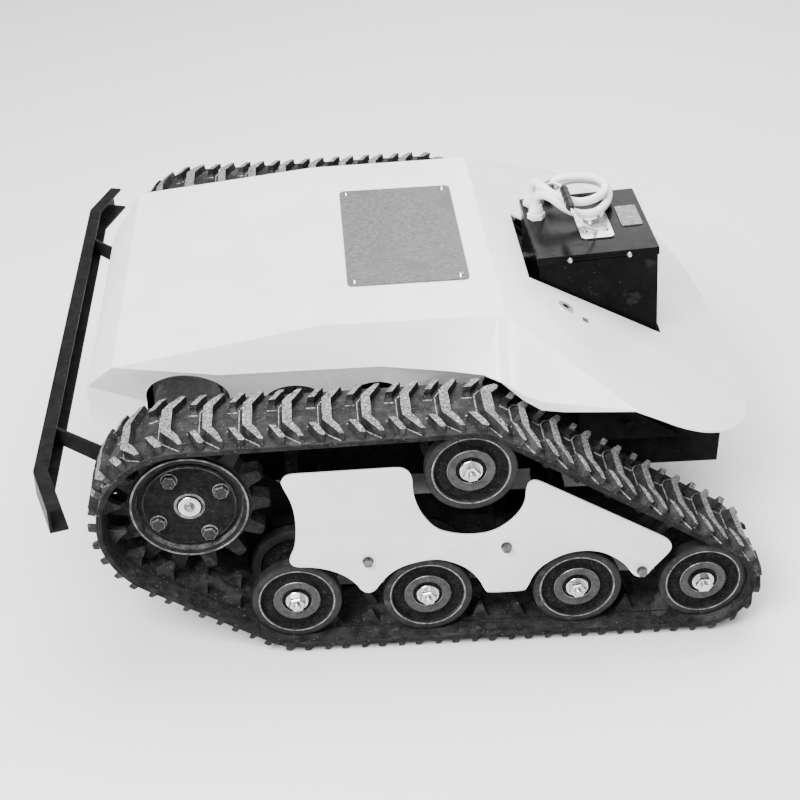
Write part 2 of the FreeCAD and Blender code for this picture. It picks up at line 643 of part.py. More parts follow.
def on_box(shape):
    """Moves a shape built in the box's own frame: origin at the lid's rear edge, X forward."""
    moved = shape.copy()
    moved.rotate(Vec(0, 0, 0), Vec(0, 1, 0), -BOX_PITCH)
    moved.translate(Vec(BOX_CORNER_X, 0, BOX_CORNER_Z))
    return moved


# ---- top plate, screws ----
PLATE_X, PLATE_HALF_X, PLATE_HALF_Y = 7.0, 99.5, 180.0


def rounded_plate(half_x, half_y, z0, z1, radius):
    plate = box(-half_x, half_x, -half_y, half_y, z0, z1)
    upright = [e for e in plate.Edges if abs(e.tangentAt(e.FirstParameter).z) > 0.9]
    return plate.makeFillet(radius, upright)


def button_screw(radius, height, shank, length):
    head = Part.makeCone(radius, radius * 0.6, height)
    socket = Part.makeCylinder(radius * 0.35, height, Vec(0, 0, height * 0.45))
    stem = Part.makeCylinder(shank, length, Vec(0, 0, -length))
    return fuse([head, stem]).cut(socket)


def plate_corners():
    return [(sx * (PLATE_HALF_X - 13), sy * (PLATE_HALF_Y - 13)) for sx in (-1, 1) for sy in (-1, 1)]


def make_access_plate():
    plate = rounded_plate(PLATE_HALF_X, PLATE_HALF_Y, 0.1, 2.6, 10.0)
    for x, y in plate_corners():
        plate = plate.cut(Part.makeCylinder(3.0, 9, Vec(x, y, -3)))
    return on_top(plate, PLATE_X, 0)


def make_cover_screws():
    screws = []
    for x, y in plate_corners():
        screw = button_screw(6.0, 3.6, 2.9, 2.4)
        screw.translate(Vec(x, y, 2.6))
        screws.append(on_top(screw, PLATE_X, 0))
    for side in (-1, 1):
        for x in (54.0, 154.0):
            screw = button_screw(5.0, 3.0, 1.9, 1.9)
            screw.rotate(Vec(0, 0, 0), Vec(1, 0, 0), -90 * side)
            screw.translate(Vec(x, side * BOX_HALF, -9))
            screws.append(on_box(screw))
    return Part.makeCompound(screws)


# ---- control box ----
def make_control_box():
    w = BOX_SHEET
    outer = box(w, BOX_LENGTH - w, -BOX_HALF + w, BOX_HALF - w, -BOX_HEIGHT, -w)
    inner = box(2 * w, BOX_LENGTH - 2 * w, -BOX_HALF + 2 * w, BOX_HALF - 2 * w,
                -BOX_HEIGHT + w, 5)
    return on_box(outer.cut(inner))


def make_box_lid():
    w = BOX_SHEET
    outer = box(0, BOX_LENGTH, -BOX_HALF, BOX_HALF, -LID_LIP, 0)
    inner = box(w, BOX_LENGTH - w, -BOX_HALF + w, BOX_HALF - w, -LID_LIP - 5, -w)
    lid = outer.cut(inner)
    for side in (-1, 1):
        for x in (54.0, 154.0):
            hole = Part.makeCylinder(2.0, 6, Vec(x, side * BOX_HALF - 3, -9), Vec(0, 1, 0))
            lid = lid.cut(hole)
    for y in (37, 90):
        lid = lid.cut(Part.makeCylinder(8.0, 9, Vec(GLAND_X, y, -6)))
    return on_box(lid)


GLAND_X = 19.5


def make_glands():
    glands = []
    for y in (37, 90):
        nut = hexagon_z(13.5, 0, 9)
        body = Part.makeCylinder(11.5, 8, Vec(0, 0, 8))
        dome = Part.makeCone(12.5, 9.5, 9, Vec(0, 0, 15))
        neck = Part.makeCylinder(7.9, 14, Vec(0, 0, -12))
        locknut = hexagon_z(12.5, -8, -2.1)
        gland = fuse([nut, body, dome, neck, locknut])
        gland.translate(Vec(GLAND_X, y, 0))
        glands.append(on_box(gland))
    return Part.makeCompound(glands)


def hexagon_z(inner_radius, z0, z1):
    corner = inner_radius / math.cos(math.radians(30))
    points = [Vec(corner * math.cos(math.radians(60 * i)), corner * math.sin(math.radians(60 * i)),
                  z0) for i in range(7)]
    return Part.Face(Part.makePolygon(points)).extrude(Vec(0, 0, z1 - z0))


def make_connector_plate():
    plate = rounded_plate(28, 55, 0, 2.5, 9.0)
    shell = Part.makeCylinder(15, 4, Vec(0, 18, 2.5))
    shell = shell.cut(Part.makeCylinder(12.5, 3, Vec(0, 18, 4.5)))
    stud = Part.makeCylinder(3.5, 5, Vec(-2, -33, 2.5))
    screws = [Part.makeCylinder(4.5, 3, Vec(x, y, 2.5)) for x in (-18, 18) for y in (-25, 43)]
    piece = fuse([plate, shell, stud] + screws)
    piece.translate(Vec(111, -11, 0))
    return on_box(piece)


def make_display():
    window = rounded_plate(18, 37.5, 0, 2.0, 2.0)
    window.translate(Vec(176, 8, 0))
    return on_box(window)


# ---- key switch ----
KEY_AT = (264.5, -182.0)
LAMP_AT = (295.5, -200.0)


def make_key_body():
    bezel = Part.makeCylinder(14.0, 3.0, Vec(0, 0, 0.05))
    barrel = Part.makeCylinder(9.5, 32, Vec(0, 0, -31))
    nut = Part.makeCylinder(13.0, 5, Vec(0, 0, -HULL_SHEET - 5.7))
    body = fuse([bezel, barrel, nut])
    return on_nose(body.cut(Part.makeCylinder(6.0 + RUN_FIT, 14, Vec(0, 0, -8))), *KEY_AT)


def make_key_rotor():
    rotor = Part.makeCylinder(6.0, 10.5, Vec(0, 0, -7.5))
    slot = box(-4.5, 4.5, -0.8, 0.8, -1, 4)
    return on_nose(rotor.cut(slot), *KEY_AT)


def make_lamp():
    return on_nose(box(-5, 5, -5, 5, 0.05, 1.6), *LAMP_AT)


# ---- bumper ----
def strip(points, width):
    """Flat band between a plan polyline and its parallel at the given distance on its left."""
    normals = []
    for (x0, y0), (x1, y1) in zip(points, points[1:]):
        length = math.dist((x0, y0), (x1, y1))
        normals.append((-(y1 - y0) / length, (x1 - x0) / length))
    shifted = []
    for i, (x, y) in enumerate(points):
        before, after = normals[max(i - 1, 0)], normals[min(i, len(normals) - 1)]
        mx, my = before[0] + after[0], before[1] + after[1]
        scale = 2 * width / (mx * mx + my * my)
        shifted.append((x + mx * scale, y + my * scale))
    outline = points + shifted[::-1]
    corners = [Vec(x, y, 0) for x, y in outline]
    return Part.Face(Part.makePolygon(corners + corners[:1]))


def make_bumper():
    tip_x, tip_y = BUMPER_TIP
    line = [(tip_x, tip_y), (BUMPER_X, BUMPER_BEND_Y), (BUMPER_X, -BUMPER_BEND_Y), (tip_x, -tip_y)]

    def layer(width, z0, z1):
        shape = strip(line, width).extrude(Vec(0, 0, z1 - z0))
        shape.translate(Vec(0, 0, z0))
        return shape

    return fuse([layer(5.0, BUMPER_Z0, BUMPER_Z1), layer(22.0, BUMPER_Z1 - 5, BUMPER_Z1),
                 layer(28.0, BUMPER_Z0, BUMPER_Z0 + 5)])


def make_bumper_arms():
    arm = xz_plate([(BUMPER_X + 5, BUMPER_Z0 + 5), (BUMPER_X + 5, BUMPER_Z1 - 5),
                    (BUMPER_X + 22, BUMPER_Z1 - 5), (-432, 263), (-432, 227),
                    (BUMPER_X + 28.2, BUMPER_Z0 + 5)], 325.8, 331.8)
    bolts = [y_hexagon(x, z, 320, 325.9, 13.0) for x, z in ((-444, 258), (-440, 238))]
    return both_sides([fuse([arm] + bolts)])


# ---- chassis tub, nose brackets and what is inside ----
def make_tub():
    """Open-topped black tub with two cross bars under the control box."""
    t, tilt = TUB_SHEET, math.radians(BOX_PITCH)
    outer = box(TUB_REAR, TUB_FRONT, -TUB_HALF, TUB_HALF, TUB_BOTTOM, TUB_TOP)
    corners = [e for e in outer.Edges
               if abs(e.CenterOfMass.x - TUB_FRONT) < 0.1 and abs(e.CenterOfMass.y) < 1]
    outer = outer.makeFillet(10.0, corners[:1])
    inner = box(TUB_REAR + t, TUB_FRONT - t, -TUB_HALF + t, TUB_HALF - t, TUB_BOTTOM + t,
                TUB_TOP + 5)
    tub = outer.cut(inner).cut(box(440, 540, -300, 300, 276, 320))
    bars = []
    for x0 in (250, 390):
        shelf = [(x, BOX_CORNER_Z - BOX_HEIGHT + (x - BOX_CORNER_X - 12) * math.tan(tilt) - 0.3)
                 for x in (x0 + 30, x0)]
        bars.append(xz_plate([(x0, 288), (x0 + 30, 288)] + shelf, -TUB_HALF + t, TUB_HALF - t))
    tub = fuse([tub] + bars)
    for side in (-1, 1):
        y0, y1 = sorted((side * 250, side * 270))
        tub = tub.cut(y_cylinder(SPROCKET_X, SPROCKET_Z, y0, y1, SHAFT_R + 6))
        tub = tub.cut(y_cylinder(SPROCKET_X, MOTOR_Z, y0, y1, 58.0))
    for y in (-90, 90):
        for z in (200, 250):
            tub = tub.cut(Part.makeCylinder(6.5, 20, Vec(TUB_FRONT - 10, y, z), Vec(1, 0, 0)))
    return tub


def make_nose_brackets():
    """Black folded side plates that carry the nose panel on the tub."""
    web = xz_plate([(275, 258), (441, 258), (372, 302), (275, 318)], TUB_HALF + 40, TUB_HALF + 44)
    foot = box(275, 441, TUB_HALF, TUB_HALF + 44, 254, 258)
    bolt = y_hexagon(357, 285, TUB_HALF + 44, TUB_HALF + 51, 13.0)
    return both_sides([fuse([web, foot, bolt])])


def make_battery():
    pack = box(-90, 160, -150, 150, TUB_BOTTOM + TUB_SHEET, 290)
    handle = box(20, 50, -60, 60, 290, 302).cut(box(15, 55, -50, 50, 289, 297))
    return fuse([pack, handle])


def make_controller():
    case = box(-290, -130, -110, 110, TUB_BOTTOM + TUB_SHEET, 212)
    fins = [box(-290 + 20 * k, -284 + 20 * k, -110, 110, 211, 226) for k in range(8)]
    return fuse([case] + fins)


def make_motors():
    can = y_cylinder(SPROCKET_X, MOTOR_Z, 90, 205, 54.0)
    cap = y_cylinder(SPROCKET_X, MOTOR_Z, 70, 90.5, 40.0)
    return both_sides([fuse([can, cap])])


def make_gearboxes():
    body = fuse([y_cylinder(SPROCKET_X, MOTOR_Z, 205, 250, 60.0),
                 y_cylinder(SPROCKET_X, SPROCKET_Z, 205, 250, 60.0),
                 box(SPROCKET_X - 60, SPROCKET_X + 60, 205, 250, SPROCKET_Z, MOTOR_Z)])
    end_disc = y_cylinder(SPROCKET_X, MOTOR_Z, 249, 286, 54.0)
    foot = box(SPROCKET_X - 50, SPROCKET_X + 50, 205, 250, TUB_BOTTOM + TUB_SHEET, 230)
    body = fuse([body, end_disc, foot])
    bore = y_cylinder(SPROCKET_X, SPROCKET_Z, 214.9, 300, SHAFT_R + RUN_FIT)
    return both_sides([body.cut(bore)])


# ---- cords ----
def cord_path(points):
    """Straight runs joined by tangent arcs, each as large as its two runs allow."""
    corners = [Vec(*p) for p in points]
    edges, radii, start = [], [], corners[0]
    for before, corner, after in zip(corners, corners[1:], corners[2:]):
        back, ahead = before.sub(corner), after.sub(corner)
        reach = 0.45 * min(back.Length, ahead.Length)
        back.normalize()
        ahead.normalize()
        half_turn = (math.pi - back.getAngle(ahead)) / 2
        radii.append(round(reach / math.tan(half_turn), 1))
        first, last = corner + back * reach, corner + ahead * reach
        inward = (back + ahead).normalize()
        depth = reach / math.tan(half_turn) * (1 / math.cos(half_turn) - 1)
        edges.append(Part.LineSegment(start, first).toShape())
        edges.append(Part.Arc(first, corner + inward * depth, last).toShape())
        start = last
    edges.append(Part.LineSegment(start, corners[-1]).toShape())
    return Part.Wire(edges), radii


def cord(name, points, radius):
    path, radii = cord_path(points)
    circle = Part.makeCircle(radius, Vec(*points[0]), Vec(*points[1]).sub(Vec(*points[0])))
    tube = path.makePipeShell([Part.Wire([circle])], True, True)
    print(name, "radii", radii, "length", round(path.Length, 1), "volume ratio",
          round(tube.Volume / (math.pi * radius * radius * path.Length), 4))
    save(name, tube)


def make_sleeves():
    """A shrunk tube round the signal wire and a boot on the end of the first conduit."""
    start, end = Vec(*SLEEVE_FROM), Vec(*SLEEVE_TO)
    run = end.sub(start)
    tube = Part.makeCylinder(SLEEVE_R, run.Length, start, run)
    tube = tube.cut(Part.makeCylinder(SLEEVE_BORE_R, run.Length, start, run))
    last, before = Vec(*CONDUIT_1_ROUTE[-1]), Vec(*CONDUIT_1_ROUTE[-2])
    boot = Part.makeCylinder(BOOT_R, BOOT_LENGTH, last, last.sub(before))
    return Part.makeCompound([tube, boot])


# ---- write every piece ----
save("hull_cover", make_hull_cover())
save("access_plate", make_access_plate())
save("cover_screws", make_cover_screws())
save("chassis_tub", make_tub())
save("nose_brackets", make_nose_brackets())
save("bumper_channel", make_bumper())
save("bumper_arms", make_bumper_arms())
save("control_box", make_control_box())
save("control_box_lid", make_box_lid())
save("display_window", make_display())
save("connector_plate", make_connector_plate())
save("cable_glands", make_glands())
save("key_switch_body", make_key_body())
save("key_switch_rotor", make_key_rotor())
save("indicator_lamp", make_lamp())
save("battery_pack", make_battery())
save("motor_controller", make_controller())
save("drive_motors", make_motors())
save("reduction_gearboxes", make_gearboxes())
save("side_cover_bolts", both_sides([make_cover_bolt(x, z) for x, z in COVER_BOLTS]))
axles = [make_axle(x, WHEEL_Z, BEAM_IN) for x in ROAD_WHEEL_X]
axles.append(make_axle(ROLLER_X, ROLLER_Z, 346))
save("wheel_axles", both_sides(axles))
save("tension_rods", both_sides([make_tension_rod()]))
save_pair("track_belt", make_track())
save_pair("side_frame", make_side_frame())
save_pair("side_cover", make_side_cover())
save_pair("idler_carriage", make_idler_carriage())
save_pair("sprocket_ring", make_sprocket_ring())
save_pair("drive_hub", make_drive_hub())
save_pair("sprocket_bolts", make_sprocket_bolts())
WHEEL_PLACES = {
    "road_wheel_1": (ROAD_WHEEL_X[0], WHEEL_Z), "road_wheel_2": (ROAD_WHEEL_X[1], WHEEL_Z),
    "road_wheel_3": (ROAD_WHEEL_X[2], WHEEL_Z), "front_idler": (IDLER_X, WHEEL_Z),
    "top_roller": (ROLLER_X, ROLLER_Z),
}
for wheel, (x, z) in WHEEL_PLACES.items():
    save_pair(wheel + "_rim", make_wheel_rim(x, z))
    save_pair(wheel + "_tyre", make_tyre(x, z))
cord("cable_conduit_1", CONDUIT_1_ROUTE, CONDUIT_R)
cord("cable_conduit_2", CONDUIT_2_ROUTE, CONDUIT_R)
cord("signal_wire", WIRE_ROUTE, WIRE_R)
save("cable_sleeves", make_sleeves())
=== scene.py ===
import math

import bmesh
import bpy
from mathutils import Matrix, Vector


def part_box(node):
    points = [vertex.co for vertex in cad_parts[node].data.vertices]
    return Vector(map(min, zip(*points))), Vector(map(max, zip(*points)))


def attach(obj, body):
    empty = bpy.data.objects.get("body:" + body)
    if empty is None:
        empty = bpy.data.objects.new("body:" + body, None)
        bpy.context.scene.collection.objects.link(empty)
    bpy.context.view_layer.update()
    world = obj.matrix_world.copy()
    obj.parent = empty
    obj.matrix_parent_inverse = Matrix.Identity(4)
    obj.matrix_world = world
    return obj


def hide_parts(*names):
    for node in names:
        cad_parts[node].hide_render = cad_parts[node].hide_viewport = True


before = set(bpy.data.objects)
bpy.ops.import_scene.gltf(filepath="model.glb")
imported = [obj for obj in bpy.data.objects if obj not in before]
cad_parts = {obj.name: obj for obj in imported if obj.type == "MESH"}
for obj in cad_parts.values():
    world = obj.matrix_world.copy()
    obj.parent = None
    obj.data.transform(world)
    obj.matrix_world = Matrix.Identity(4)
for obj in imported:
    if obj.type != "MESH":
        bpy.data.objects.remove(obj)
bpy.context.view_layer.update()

# Looks of the tracked robot chassis; +X forward, +Y left, +Z up, as in the frame.
# Sizes are in millimetres, times MM for Blender's metres, except the cords, which are in metres.
MM = 0.001
SIDES = (("left", 1), ("right", -1))
WHEELS = ("road_wheel_1", "road_wheel_2", "road_wheel_3", "front_idler", "top_roller")

# ---- track sizes, the same as the frame's ----
TRACK_Y = 434.0
BELT_HALF = 72.0
BELT_THICK = 9.0
LUG_TOP = 24.0
LINKS = 40
FIRST_LUG = 50.0
BELT_GAP = 0.4
SPROCKET_BELT_R = 129.0
GUIDE_HEIGHT = 25.0
GUIDE_INNER, GUIDE_OUTER = 17.5, 30.5
GUIDE_TAPER = (1.5, 2.0)      # how far its inner and outer sides draw in at its tip


def centre_mm(node):
    low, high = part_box(node)
    return [(low[i] + high[i]) / 2 / MM for i in range(3)]


SPROCKET_X, _, SPROCKET_Z = centre_mm("left_drive_hub")
WHEEL_CENTRE = {name: centre_mm("left_%s_tyre" % name) for name in WHEELS}
TYRE_LOW, TYRE_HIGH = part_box("left_road_wheel_1_tyre")
WHEEL_R = (TYRE_HIGH[2] - TYRE_LOW[2]) / 2 / MM
WHEEL_HALF = (TYRE_HIGH[1] - TYRE_LOW[1]) / 2 / MM


# ---- camera ----
CAMERA_AT = (-0.1595, -2.416, 1.697)
CAMERA_YAW, CAMERA_PITCH, CAMERA_ROLL = 3.85, 32.51, -0.43
CAMERA_LENS = 70.5


def make_camera():
    yaw, pitch, roll = (math.radians(a) for a in (CAMERA_YAW, CAMERA_PITCH, CAMERA_ROLL))
    ahead = Vector((math.sin(yaw) * math.cos(pitch), math.cos(yaw) * math.cos(pitch),
                    -math.sin(pitch)))
    right = Vector((math.cos(yaw), -math.sin(yaw), 0))
    up = right.cross(ahead)
    right, up = (math.cos(roll) * right + math.sin(roll) * up,
                 math.cos(roll) * up - math.sin(roll) * right)
    data = bpy.data.cameras.new("camera")
    data.lens = CAMERA_LENS
    camera = bpy.data.objects.new("camera", data)
    axes = Matrix((right, up, -ahead)).transposed().to_4x4()
    camera.matrix_world = Matrix.Translation(CAMERA_AT) @ axes
    bpy.context.collection.objects.link(camera)
    bpy.context.scene.camera = camera


make_camera()


# ---- materials ----
def new_material(name):
    material = bpy.data.materials.new(name)
    material.use_nodes = True
    nodes = material.node_tree.nodes
    nodes.clear()
    output = nodes.new("ShaderNodeOutputMaterial")
    shader = nodes.new("ShaderNodeBsdfPrincipled")
    material.node_tree.links.new(shader.outputs[0], output.inputs[0])
    return material, nodes, material.node_tree.links, shader


def noise_factor(nodes, links, scale, detail=5.0, stretch=(1, 1, 1), low=0.35, high=0.65):
    """A noise in the object's own metres, spread so that low to high fills 0 to 1."""
    place = nodes.new("ShaderNodeTexCoord")
    mapping = nodes.new("ShaderNodeMapping")
    mapping.inputs["Scale"].default_value = stretch
    noise = nodes.new("ShaderNodeTexNoise")
    noise.inputs["Scale"].default_value = scale
    noise.inputs["Detail"].default_value = detail
    noise.inputs["Roughness"].default_value = 0.6
    spread = nodes.new("ShaderNodeMapRange")
    spread.inputs["From Min"].default_value = low
    spread.inputs["From Max"].default_value = high
    links.new(place.outputs["Object"], mapping.inputs["Vector"])
    links.new(mapping.outputs[0], noise.inputs["Vector"])
    links.new(noise.outputs[0], spread.inputs["Value"])
    return spread.outputs[0]


def mixed(nodes, links, factor, first, second):
    """Mixes two colours, each a colour or a socket, by a factor socket."""
    mix = nodes.new("ShaderNodeMix")
    mix.data_type = "RGBA"
    links.new(factor, mix.inputs["Factor"])
    for socket, value in ((mix.inputs[6], first), (mix.inputs[7], second)):
        if isinstance(value, tuple):
            socket.default_value = (*value, 1)
        else:
            links.new(value, socket)
    return mix.outputs[2]


def grey(level):
    return (level, level, level * 0.985)


SPOT_EDGE = 0.05              # how soft the rim of a mark is, in the noise's own units
GLOSS_SCALE = 1.7             # the gloss varies at a finer scale than the colour
COAT_ROUGHNESS = 0.12


def surface(name, dark, light, scale, roughness, metallic=0.0, bump=(600, 0.1, 0.0002),
            stretch=(1, 1, 1), coat=0.0, specks=None, patches=None, shine=0.5):
    """Mottled paint, rubber or metal. roughness is (low, high); bump is (scale, strength, distance);
    specks are (scale, threshold, level) of small marks; patches are the same of large stains."""
    material, nodes, links, shader = new_material(name)
    factor = noise_factor(nodes, links, scale, stretch=stretch)
    colour = mixed(nodes, links, factor, grey(dark), grey(light))
    for marks, detail in ((patches, 6.0), (specks, 2.0)):
        if marks:
            size, threshold, level = marks
            spot = noise_factor(nodes, links, size, detail, low=threshold, high=threshold + SPOT_EDGE)
            colour = mixed(nodes, links, spot, colour, grey(level))
    links.new(colour, shader.inputs["Base Color"])
    gloss = noise_factor(nodes, links, scale * GLOSS_SCALE, stretch=stretch)
    span = nodes.new("ShaderNodeMapRange")
    span.inputs["To Min"].default_value, span.inputs["To Max"].default_value = roughness
    links.new(gloss, span.inputs["Value"])
    links.new(span.outputs[0], shader.inputs["Roughness"])
    shader.inputs["Metallic"].default_value = metallic
    shader.inputs["Specular IOR Level"].default_value = shine
    shader.inputs["Coat Weight"].default_value = coat
    shader.inputs["Coat Roughness"].default_value = COAT_ROUGHNESS
    grain, strength, distance = bump
    height = noise_factor(nodes, links, grain, detail=4.0, stretch=stretch, low=0.2, high=0.8)
    relief = nodes.new("ShaderNodeBump")
    relief.inputs["Strength"].default_value = strength
    relief.inputs["Distance"].default_value = distance
    links.new(height, relief.inputs["Height"])
    links.new(relief.outputs[0], shader.inputs["Normal"])
    return material


def make_materials():
    made = {}

    def add(name, *args, **more):
        made[name] = surface(name, *args, **more)

    add("white_paint", 0.80, 0.87, 9, (0.26, 0.36), bump=(520, 0.12, 0.0004), coat=0.15,
        specks=(420, 0.715, 0.5))
    # The side covers' white is the hull's white paint made darker: painted shade, so the covers look
    # greyer than the hull.
    add("cover_white_painted_shade", 0.62, 0.68, 12, (0.30, 0.42), bump=(600, 0.08, 0.0003),
        specks=(300, 0.70, 0.28))
    add("plate_grey", 0.055, 0.15, 330, (0.42, 0.6), metallic=0.2, bump=(900, 0.15, 0.0002),
        stretch=(0.4, 1, 1), patches=(14, 0.58, 0.085))
    add("black_paint", 0.004, 0.009, 60, (0.34, 0.5), bump=(700, 0.12, 0.0003),
        specks=(300, 0.69, 0.06), shine=0.06)
    add("gloss_black", 0.0015, 0.004, 22, (0.16, 0.30), bump=(60, 0.02, 0.0003),
        patches=(16, 0.62, 0.012), specks=(260, 0.71, 0.10), shine=0.05)
    add("frame_paint", 0.004, 0.010, 45, (0.45, 0.65), bump=(500, 0.15, 0.0004),
        patches=(12, 0.6, 0.018), specks=(240, 0.70, 0.08), shine=0.04)
    add("motor_paint", 0.006, 0.014, 40, (0.4, 0.6), shine=0.1)
    add("belt_rubber", 0.009, 0.028, 55, (0.5, 0.75), bump=(420, 0.4, 0.0008),
        patches=(20, 0.56, 0.042), specks=(330, 0.66, 0.17), shine=0.14)
    add("belt_side", 0.005, 0.020, 70, (0.5, 0.75), bump=(380, 0.3, 0.0006),
        specks=(260, 0.67, 0.10), shine=0.1)
    add("lug_top", 0.035, 0.30, 230, (0.55, 0.8), bump=(420, 0.6, 0.0010),
        patches=(150, 0.58, 0.42), specks=(400, 0.57, 0.02), shine=0.2)
    add("worn_edge", 0.10, 0.42, 160, (0.45, 0.7), bump=(500, 0.3, 0.0005), specks=(260, 0.56, 0.03))
    add("wheel_rubber", 0.009, 0.020, 60, (0.42, 0.62), bump=(500, 0.25, 0.0005),
        patches=(40, 0.6, 0.035), shine=0.16)
    add("wheel_web", 0.003, 0.010, 90, (0.65, 0.9), bump=(260, 0.7, 0.0012),
        specks=(520, 0.64, 0.07), patches=(60, 0.6, 0.014), shine=0.08)
    add("wheel_hub", 0.028, 0.055, 120, (0.4, 0.6), metallic=0.2, bump=(300, 0.2, 0.0004),
        specks=(330, 0.64, 0.10), shine=0.2)
    add("wheel_edge", 0.08, 0.30, 70, (0.3, 0.5), metallic=0.5, specks=(300, 0.58, 0.04))
    add("cast_iron", 0.004, 0.013, 70, (0.45, 0.7), metallic=0.2, bump=(200, 0.6, 0.0012),
        patches=(30, 0.6, 0.022), specks=(420, 0.67, 0.10), shine=0.14)
    add("iron_edge", 0.03, 0.22, 60, (0.35, 0.55), metallic=0.5, bump=(300, 0.3, 0.0005),
        specks=(240, 0.58, 0.02))
    add("bright_steel", 0.42, 0.62, 90, (0.14, 0.30), metallic=1.0, bump=(500, 0.05, 0.0002))
    add("dull_steel", 0.16, 0.30, 120, (0.3, 0.5), metallic=0.9, bump=(500, 0.1, 0.0002),
        specks=(300, 0.65, 0.05))
    add("bolt_black", 0.006, 0.018, 120, (0.3, 0.5), metallic=0.4, specks=(260, 0.64, 0.10), shine=0.3)
    add("aluminium", 0.50, 0.62, 150, (0.3, 0.45), metallic=1.0, stretch=(1, 8, 1))
    add("silver_plate", 0.50, 0.82, 38, (0.14, 0.30), metallic=1.0, bump=(200, 0.08, 0.0003),
        patches=(70, 0.64, 0.10))
    add("bolt_grey", 0.05, 0.16, 120, (0.25, 0.45), metallic=0.8, bump=(500, 0.1, 0.0002))
    add("chrome", 0.62, 0.74, 90, (0.2, 0.32), metallic=0.6)
    add("black_plastic", 0.004, 0.010, 80, (0.35, 0.5), bump=(500, 0.12, 0.0002), shine=0.15)
    add("shrink_tube", 0.007, 0.020, 120, (0.4, 0.55), bump=(200, 0.25, 0.0006), shine=0.2)
    add("conduit_white", 0.80, 0.90, 60, (0.22, 0.35), bump=(500, 0.06, 0.0002),
        patches=(60, 0.62, 0.66))
    add("wire_white", 0.74, 0.86, 60, (0.3, 0.45))
    add("battery_case", 0.01, 0.02, 60, (0.5, 0.65), shine=0.1)
    add("display_grey", 0.05, 0.10, 60, (0.10, 0.2), patches=(150, 0.55, 0.24), shine=0.3)
    add("lamp_grey", 0.06, 0.10, 200, (0.2, 0.3))
    return made


MAT = make_materials()


# ---- mesh helpers; sizes in millimetres ----
def mesh_object(name, bm, materials, smooth_angle=35.0, scale=MM):
    """A new piece from a bmesh, which is freed; scale brings its units to metres."""
    bmesh.ops.recalc_face_normals(bm, faces=bm.faces)
    if scale != 1:
        bmesh.ops.scale(bm, vec=(scale, scale, scale), verts=bm.verts)
    mesh = bpy.data.meshes.new(name)
    bm.to_mesh(mesh)
    bm.free()
    for key in materials:
        mesh.materials.append(MAT[key])
    mesh.shade_smooth()
    mesh.set_sharp_from_angle(angle=math.radians(smooth_angle))
    piece = bpy.data.objects.new(name, mesh)
    bpy.context.collection.objects.link(piece)
    return piece


def band(bm, first, second, material=0):
    """Four-sided faces between two rings of vertices."""
    for k in range(len(first)):
        j = (k + 1) % len(first)
        bm.faces.new((first[k], first[j], second[j], second[k])).material_index = material


def round_angles(count):
    return [2 * math.pi * k / count for k in range(count)]


def prism(bm, outline, place, material=0, top_material=None):
    """A solid between two outlines of the same length; place(point, end) gives each corner."""
    low = [bm.verts.new(place(p, 0)) for p in outline]
    high = [bm.verts.new(place(p, 1)) for p in outline]
    bm.faces.new(low[::-1]).material_index = material
    bm.faces.new(high).material_index = material if top_material is None else top_material
    band(bm, low, high, material)


def bevel_all(bm, width, segments=2, angle=20.0, material=-1):
    edges = [e for e in bm.edges if len(e.link_faces) == 2
             and e.calc_face_angle(0) > math.radians(angle)]
    bmesh.ops.bevel(bm, geom=edges, offset=width, segments=segments, profile=0.5,
                    affect="EDGES", clamp_overlap=True, material=material)


def lathe(bm, profile, centre, steps=72):
    """Turns a closed profile of (y, radius) or (y, radius, material) about the Y axis at centre."""
    angles = round_angles(steps)
    rings = [[bm.verts.new((centre[0] + point[1] * math.cos(a), point[0],
                            centre[2] + point[1] * math.sin(a))) for a in angles]
             for point in profile]
    for i, point in enumerate(profile):
        band(bm, rings[i], rings[(i + 1) % len(rings)], point[2] if len(point) > 2 else 0)


NUT_CHAMFER = 0.18            # share of a nut's height that its outer chamfer takes
NUT_FACE = 0.88               # share of its radius that is left at the outer face


def nut(bm, x, z, y0, y1, across, material=0, turn=0.0):
    """A six-sided nut or bolt head on the Y axis with a chamfered outer face."""
    radius = across / math.sqrt(3)
    low, mid, high = [], [], []
    chamfer = (y1 - y0) * NUT_CHAMFER
    for k in range(6):
        angle = math.radians(60 * k + turn)
        cx, cz = math.cos(angle), math.sin(angle)
        low.append(bm.verts.new((x + radius * cx, y0, z + radius * cz)))
        mid.append(bm.verts.new((x + radius * cx, y1 - chamfer, z + radius * cz)))
        high.append(bm.verts.new((x + radius * NUT_FACE * cx, y1, z + radius * NUT_FACE * cz)))
    for k in range(6):
        j = (k + 1) % 6
        for first, second in ((low, mid), (mid, high)):
            bm.faces.new((first[k], first[j], second[j], second[k])).material_index = material
    for ring in (low, high):
        bm.faces.new(ring).material_index = material


def mirror_y(bm):
    bmesh.ops.scale(bm, vec=(1, -1, 1), verts=bm.verts)


def finish_piece(piece, body, slot, *nodes):
    """Says which body a piece rides on and hides the nodes that it stands for; slot, its material
    slot, is not used.
    """
    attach(piece, body)
    if nodes:
        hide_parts(*nodes)


